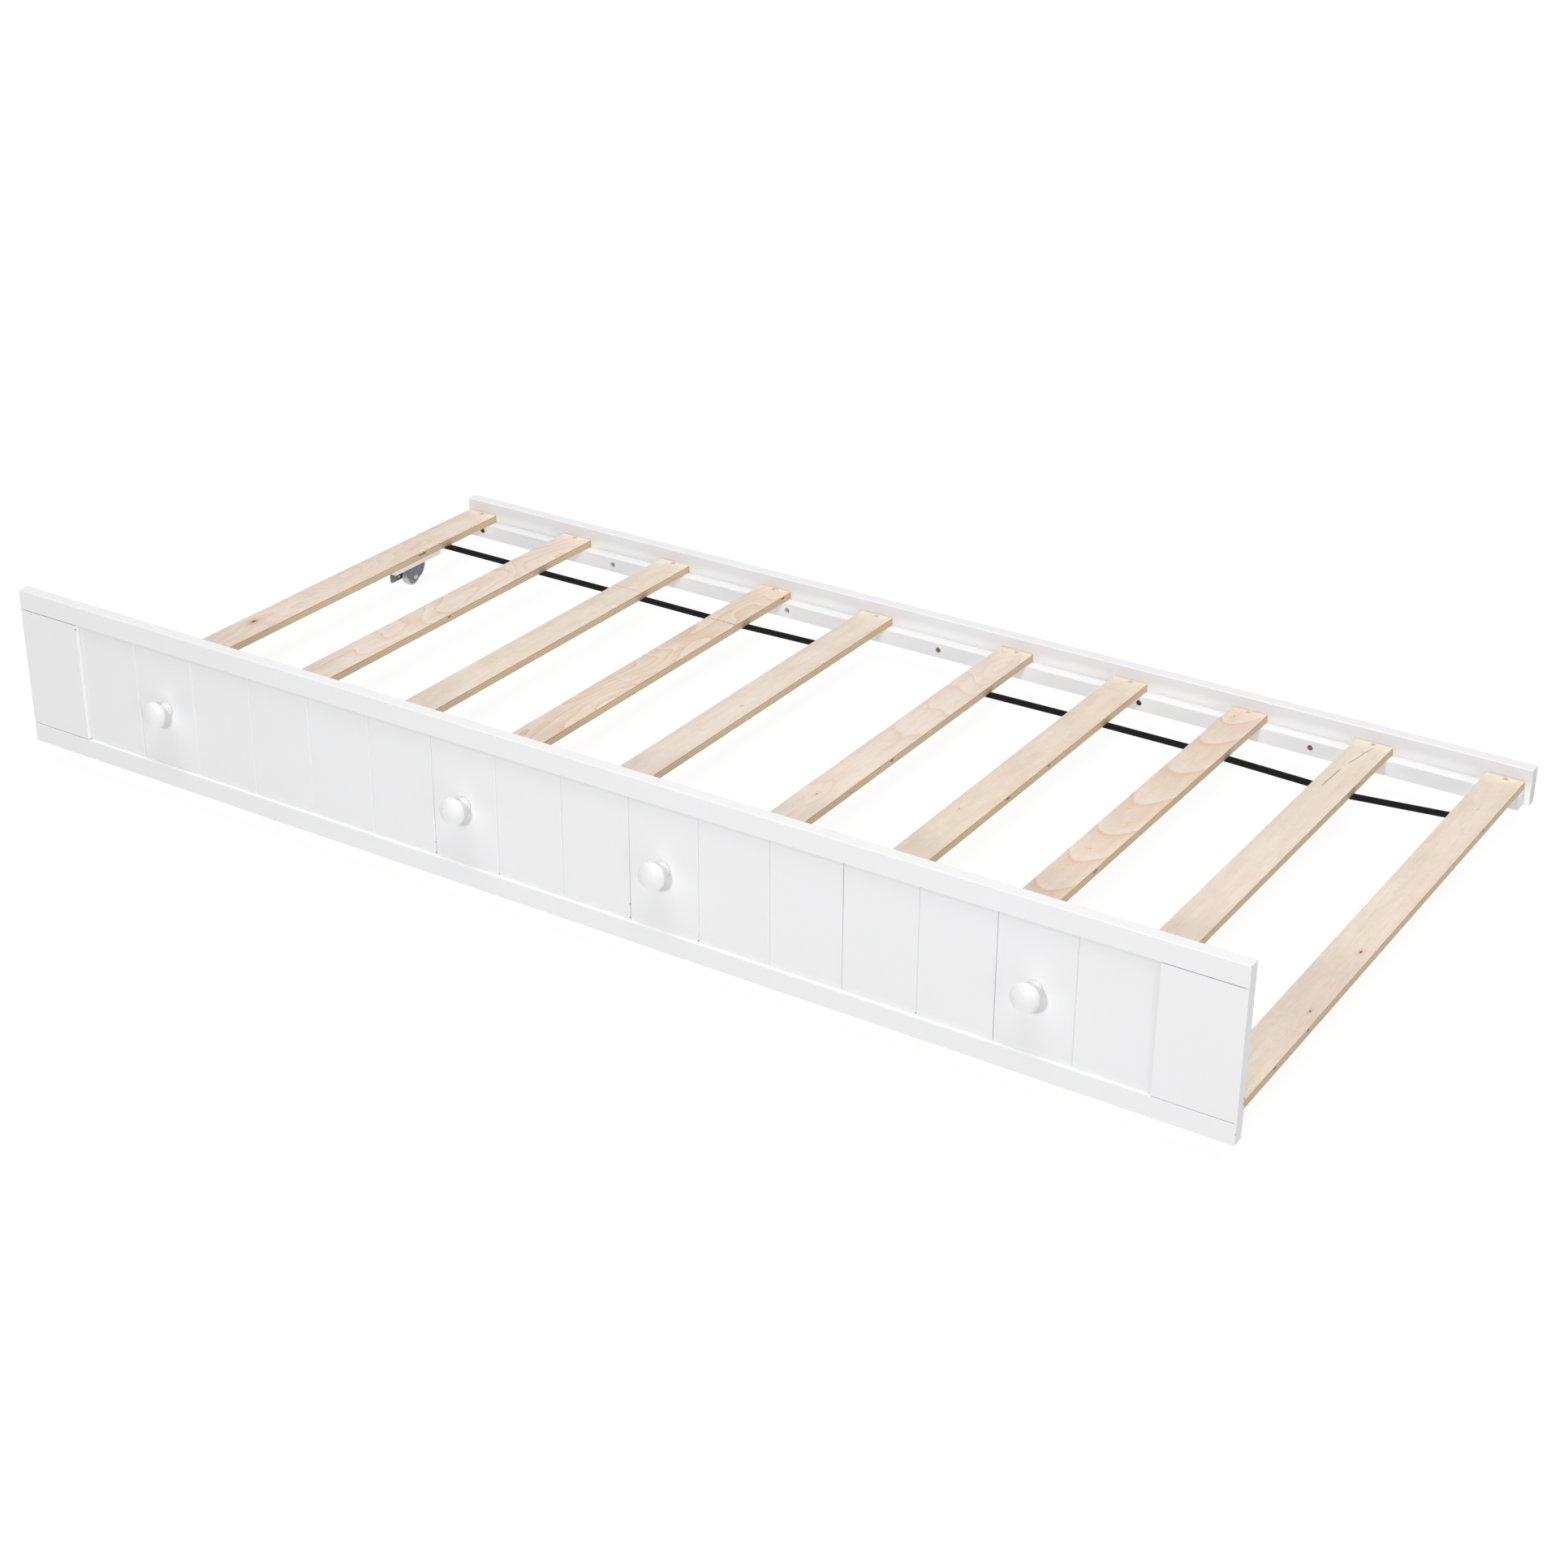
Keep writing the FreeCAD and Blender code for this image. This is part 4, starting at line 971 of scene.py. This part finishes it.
def solid_boxes(node):
    """Boxes of the separate solids of a CAD group, as (low, high)."""
    work = bmesh.new()
    work.from_mesh(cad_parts[node].data)
    bmesh.ops.remove_doubles(work, verts=work.verts, dist=1e-6)
    seen, boxes = set(), []
    for start in work.verts:
        if start in seen:
            continue
        group, queue = [], [start]
        seen.add(start)
        while queue:
            vertex = queue.pop()
            group.append(vertex.co.copy())
            for edge in vertex.link_edges:
                other = edge.other_vert(vertex)
                if other not in seen:
                    seen.add(other)
                    queue.append(other)
        boxes.append([Vector([pick(values) for values in zip(*group)]) for pick in (min, max)])
    work.free()
    return boxes


def screw_heads():
    """For each group of screws, the place of every head and the way it faces."""
    heads = {"slat_screws": [(Vector((x, y, SLAT_TOP - SLAT_SCREW_DEPTH)), Vector((0, 0, 1)))
                             for number in range(1, SLAT_COUNT + 1) for x, y in slat_screw_places(number)]}
    for node, usual in (("cleat_screws", (0, 1, 0)), ("knob_screws", (0, 1, 0)),
                        ("bracket_screws", (-1, 0, 0)), ("block_screws", (0, 0, -1))):
        heads[node] = []
        for low, high in solid_boxes(node):
            middle, half = (low + high) / 2, (high - low) / 2
            facing = Vector(usual)
            if node == "cleat_screws" and middle.y > 0:
                facing = -facing
            heads[node].append((middle + facing * abs(half.dot(facing)), facing))
    return heads


def make_screws(metal, worn):
    """Every screw, each with its cross turned at random."""
    flat, pan = head_mesh("flat"), head_mesh("pan")
    turns = random.Random(5)
    for node, heads in screw_heads().items():
        places = [(place, facing, turns.uniform(0, 90)) for place, facing in heads]
        mesh = scattered(node, flat if node in ("slat_screws", "block_screws") else pan, places)
        paint = worn if node == "slat_screws" else metal
        add_piece(node, mesh, [paint])


# ---- casters ----
def make_wheels(plastic):
    """Moulded wheels: rounded tread, dished web with spokes, hub round the axle."""
    for corner in CORNERS:
        node = "caster_wheel_" + corner
        low, high = node_box(node)
        centre = (low + high) / 2
        radius = (high.z - low.z) / 2
        tread, hub = 6.5 * MM, (high.x - low.x) / 2
        rim, web = radius - 3.6 * MM, 2.2 * MM
        side = [(2.55 * MM, hub), (5.2 * MM, hub), (5.9 * MM, hub - 0.7 * MM), (6.0 * MM, web + 0.8 * MM),
                (6.8 * MM, web), (rim - 0.8 * MM, web), (rim, web + 0.8 * MM), (rim, tread - 0.5 * MM),
                (rim + 0.5 * MM, tread)]
        side += arc_points((radius - 2.0 * MM, tread - 2.0 * MM), 2.0 * MM, 90, 12, 7)
        other = [(r, -h) for r, h in reversed(side)]
        profile = side + [(radius, 0.0)] + other + [side[0]]
        mesh = lathe_mesh(node, profile, centre, (1, 0, 0), 72, caps=False)
        whole = joined(node, [mesh] + spokes(centre, rim, tread))
        smooth(whole, 35.0)
        add_piece(node, whole, [plastic], corner + "_wheel")


def spokes(centre, rim, tread):
    made = []
    for k in range(6):
        turn = Matrix.Rotation(math.radians(60 * k), 4, "X")
        low = Vector((-tread + 1.6 * MM, -0.6 * MM, 5.4 * MM))
        high = Vector((tread - 1.6 * MM, 0.6 * MM, rim + 0.4 * MM))
        mesh = box_mesh("spoke", low, high, 0.25 * MM, 2)
        mesh.transform(Matrix.Translation(centre) @ turn)
        made.append(mesh)
    return made


def soften_node(node, material, width):
    """Keeps a CAD node, with a small rounding on its pressed edges."""
    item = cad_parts[node]
    item.data.materials.clear()
    item.data.materials.append(material)
    weld = item.modifiers.new("weld", "WELD")
    weld.merge_threshold = 1e-5
    bevel = item.modifiers.new("edges", "BEVEL")
    bevel.width = width
    bevel.segments = 2
    bevel.limit_method = "ANGLE"
    bevel.angle_limit = math.radians(40.0)


def make_casters(paint, bracket_steel, rivet_steel, plastic):
    for corner in CORNERS:
        soften_node("caster_bracket_" + corner, bracket_steel, 0.35 * MM)
        soften_node("caster_block_" + corner, paint, 0.5 * MM)
    soften_node("caster_axles", rivet_steel, 0.3 * MM)
    soften_node("strap_staples", rivet_steel, 0.15 * MM)
    make_wheels(plastic)


# ---- marks in the paint ----
def panel_chips():
    """Knocks on the front board's frame, as (place, radius)."""
    end, back = PANEL_HIGH.x, PANEL_HIGH.y
    stile_face = node_box("front_left_stile")[0].y
    return (
        (Vector((end, PANEL_LOW.y + 1 * MM, PANEL_HIGH.z)), 0.9 * MM),
        (Vector((end, back, SLAT_TOP + 14 * MM)), 3.2 * MM),
        (Vector((end, back - 1 * MM, SLAT_TOP + 21 * MM)), 2.8 * MM),
        (Vector((end, PANEL_LOW.y + 1 * MM, PANEL_LOW.z + 16 * MM)), 1.2 * MM),
        (Vector((STILE_WALLS[0] - 1.5 * MM, stile_face, RAIL_FOOT - 7 * MM)), 1.6 * MM),
    )


def groove_end_shade_spots():
    """Dark spots at the lower ends of the boards' grooves, as (place, radius): painted shade of small holes
    there, drawn with the paint's chips.
    """
    spots = ((6, 2.0, 1.5), (6, 18.0, 1.4), (7, 1.5, 1.1), (9, 2.0, 1.5), (9, 22.0, 1.4), (10, 1.5, 1.1),
             (13, 2.0, 1.1))
    return [(Vector((STILE_WALLS[0] + groove * BOARD_PITCH, BOARD_FACE + 0.8 * MM, LEDGE + rise * MM)),
             radius * MM) for groove, rise, radius in spots]


def glow_above_knobs():
    """Where the boards' paint is painted whiter above each knob: a painted glow of light."""
    boxes = [node_box("knob_%d" % number) for number in range(1, KNOB_COUNT + 1)]
    return [Vector(((low.x + high.x) / 2 + 3 * MM, high.y, (low.z + high.z) / 2 + 13 * MM))
            for low, high in boxes]


def skin(face):
    """Start and end of a ramp of painted light or shade that recolours only the skin of a face."""
    return face - 0.7 * MM, face - 0.1 * MM


# ---- everything ----
def main():
    make_camera()
    make_light()
    make_floor()
    chips = panel_chips()
    paint = white_paint("white_paint", chips=chips)
    # Painted light: the top of the front board's ledge is painted lighter.
    ledge_lit_paint = white_paint("white_paint_ledge_lit", chips=chips, light_shade_ramps=[("Z", *skin(LEDGE), 1.17)])
    # Painted light: the left stile's inner wall is painted lighter.
    stile_lit_paint = white_paint("white_paint_stile_lit", chips=chips, light_shade_ramps=[("X", *skin(STILE_WALLS[0]), 1.16)])
    # Painted light: the top face of the top rail is painted lighter.
    top = PANEL_HIGH.z
    top_lit_paint = white_paint("white_paint_top_lit", chips=chips, light_shade_ramps=[
        ("Z", top - 0.5 * MM, top - 0.05 * MM, 1.07)])
    plain_paint = white_paint("white_paint_base", BASE_LEVEL)
    # Painted light and shade: the rear rail is a lighter copy of the paint, its face painted lighter near
    # the slats and its right end painted darker.
    rear_light_shade_paint = white_paint("white_paint_rear_light_shade", BASE_LEVEL, light_shade_ramps=[
        ("Z", SLAT_TOP + 6 * MM, SLAT_TOP - 4 * MM, 1.10), ("X", *skin(REAR_HIGH.x), 0.74)])
    # Painted shade and light: the boards are painted darker just under the top rail, lighter just above the
    # ledge and whiter above each knob.
    board_light_shade_paint = white_paint("white_paint_boards_light_shade", chips=groove_end_shade_spots(), painted_glow_spots=glow_above_knobs(), light_shade_ramps=[
        ("Z", RAIL_FOOT - 8.5 * MM, RAIL_FOOT - 4.0 * MM, 0.86), ("Z", LEDGE + 8.0 * MM, LEDGE, 1.06)])
    # Painted shade: the cleats take a darker copy of the paint, for the shade they stand in.
    cleat_shaded_paint = white_paint("white_paint_cleats_shaded", 0.76)
    metal = steel("screw_steel", (0.62, 0.62, 0.63), 0.35)
    make_rails({"front_top_rail": top_lit_paint, "front_bottom_rail": ledge_lit_paint})
    make_stiles(paint, stile_lit_paint)
    make_boards(board_light_shade_paint)
    make_knobs(knob_paint())
    make_rear_rail(rear_light_shade_paint)
    make_cleats(cleat_shaded_paint)
    for number in range(1, SLAT_COUNT + 1):
        make_slat(number)
    webbing = black_webbing()
    for node in ("rear_left_strap", "rear_right_strap", "front_left_strap", "front_right_strap"):
        make_strap(node, webbing)
    make_screws(metal, steel("worn_steel", (0.62, 0.54, 0.45), 0.5, metallic=0.35))
    make_casters(plain_paint, steel("bracket_steel", (0.20, 0.205, 0.21), 0.5), metal, grey_plastic())


main()
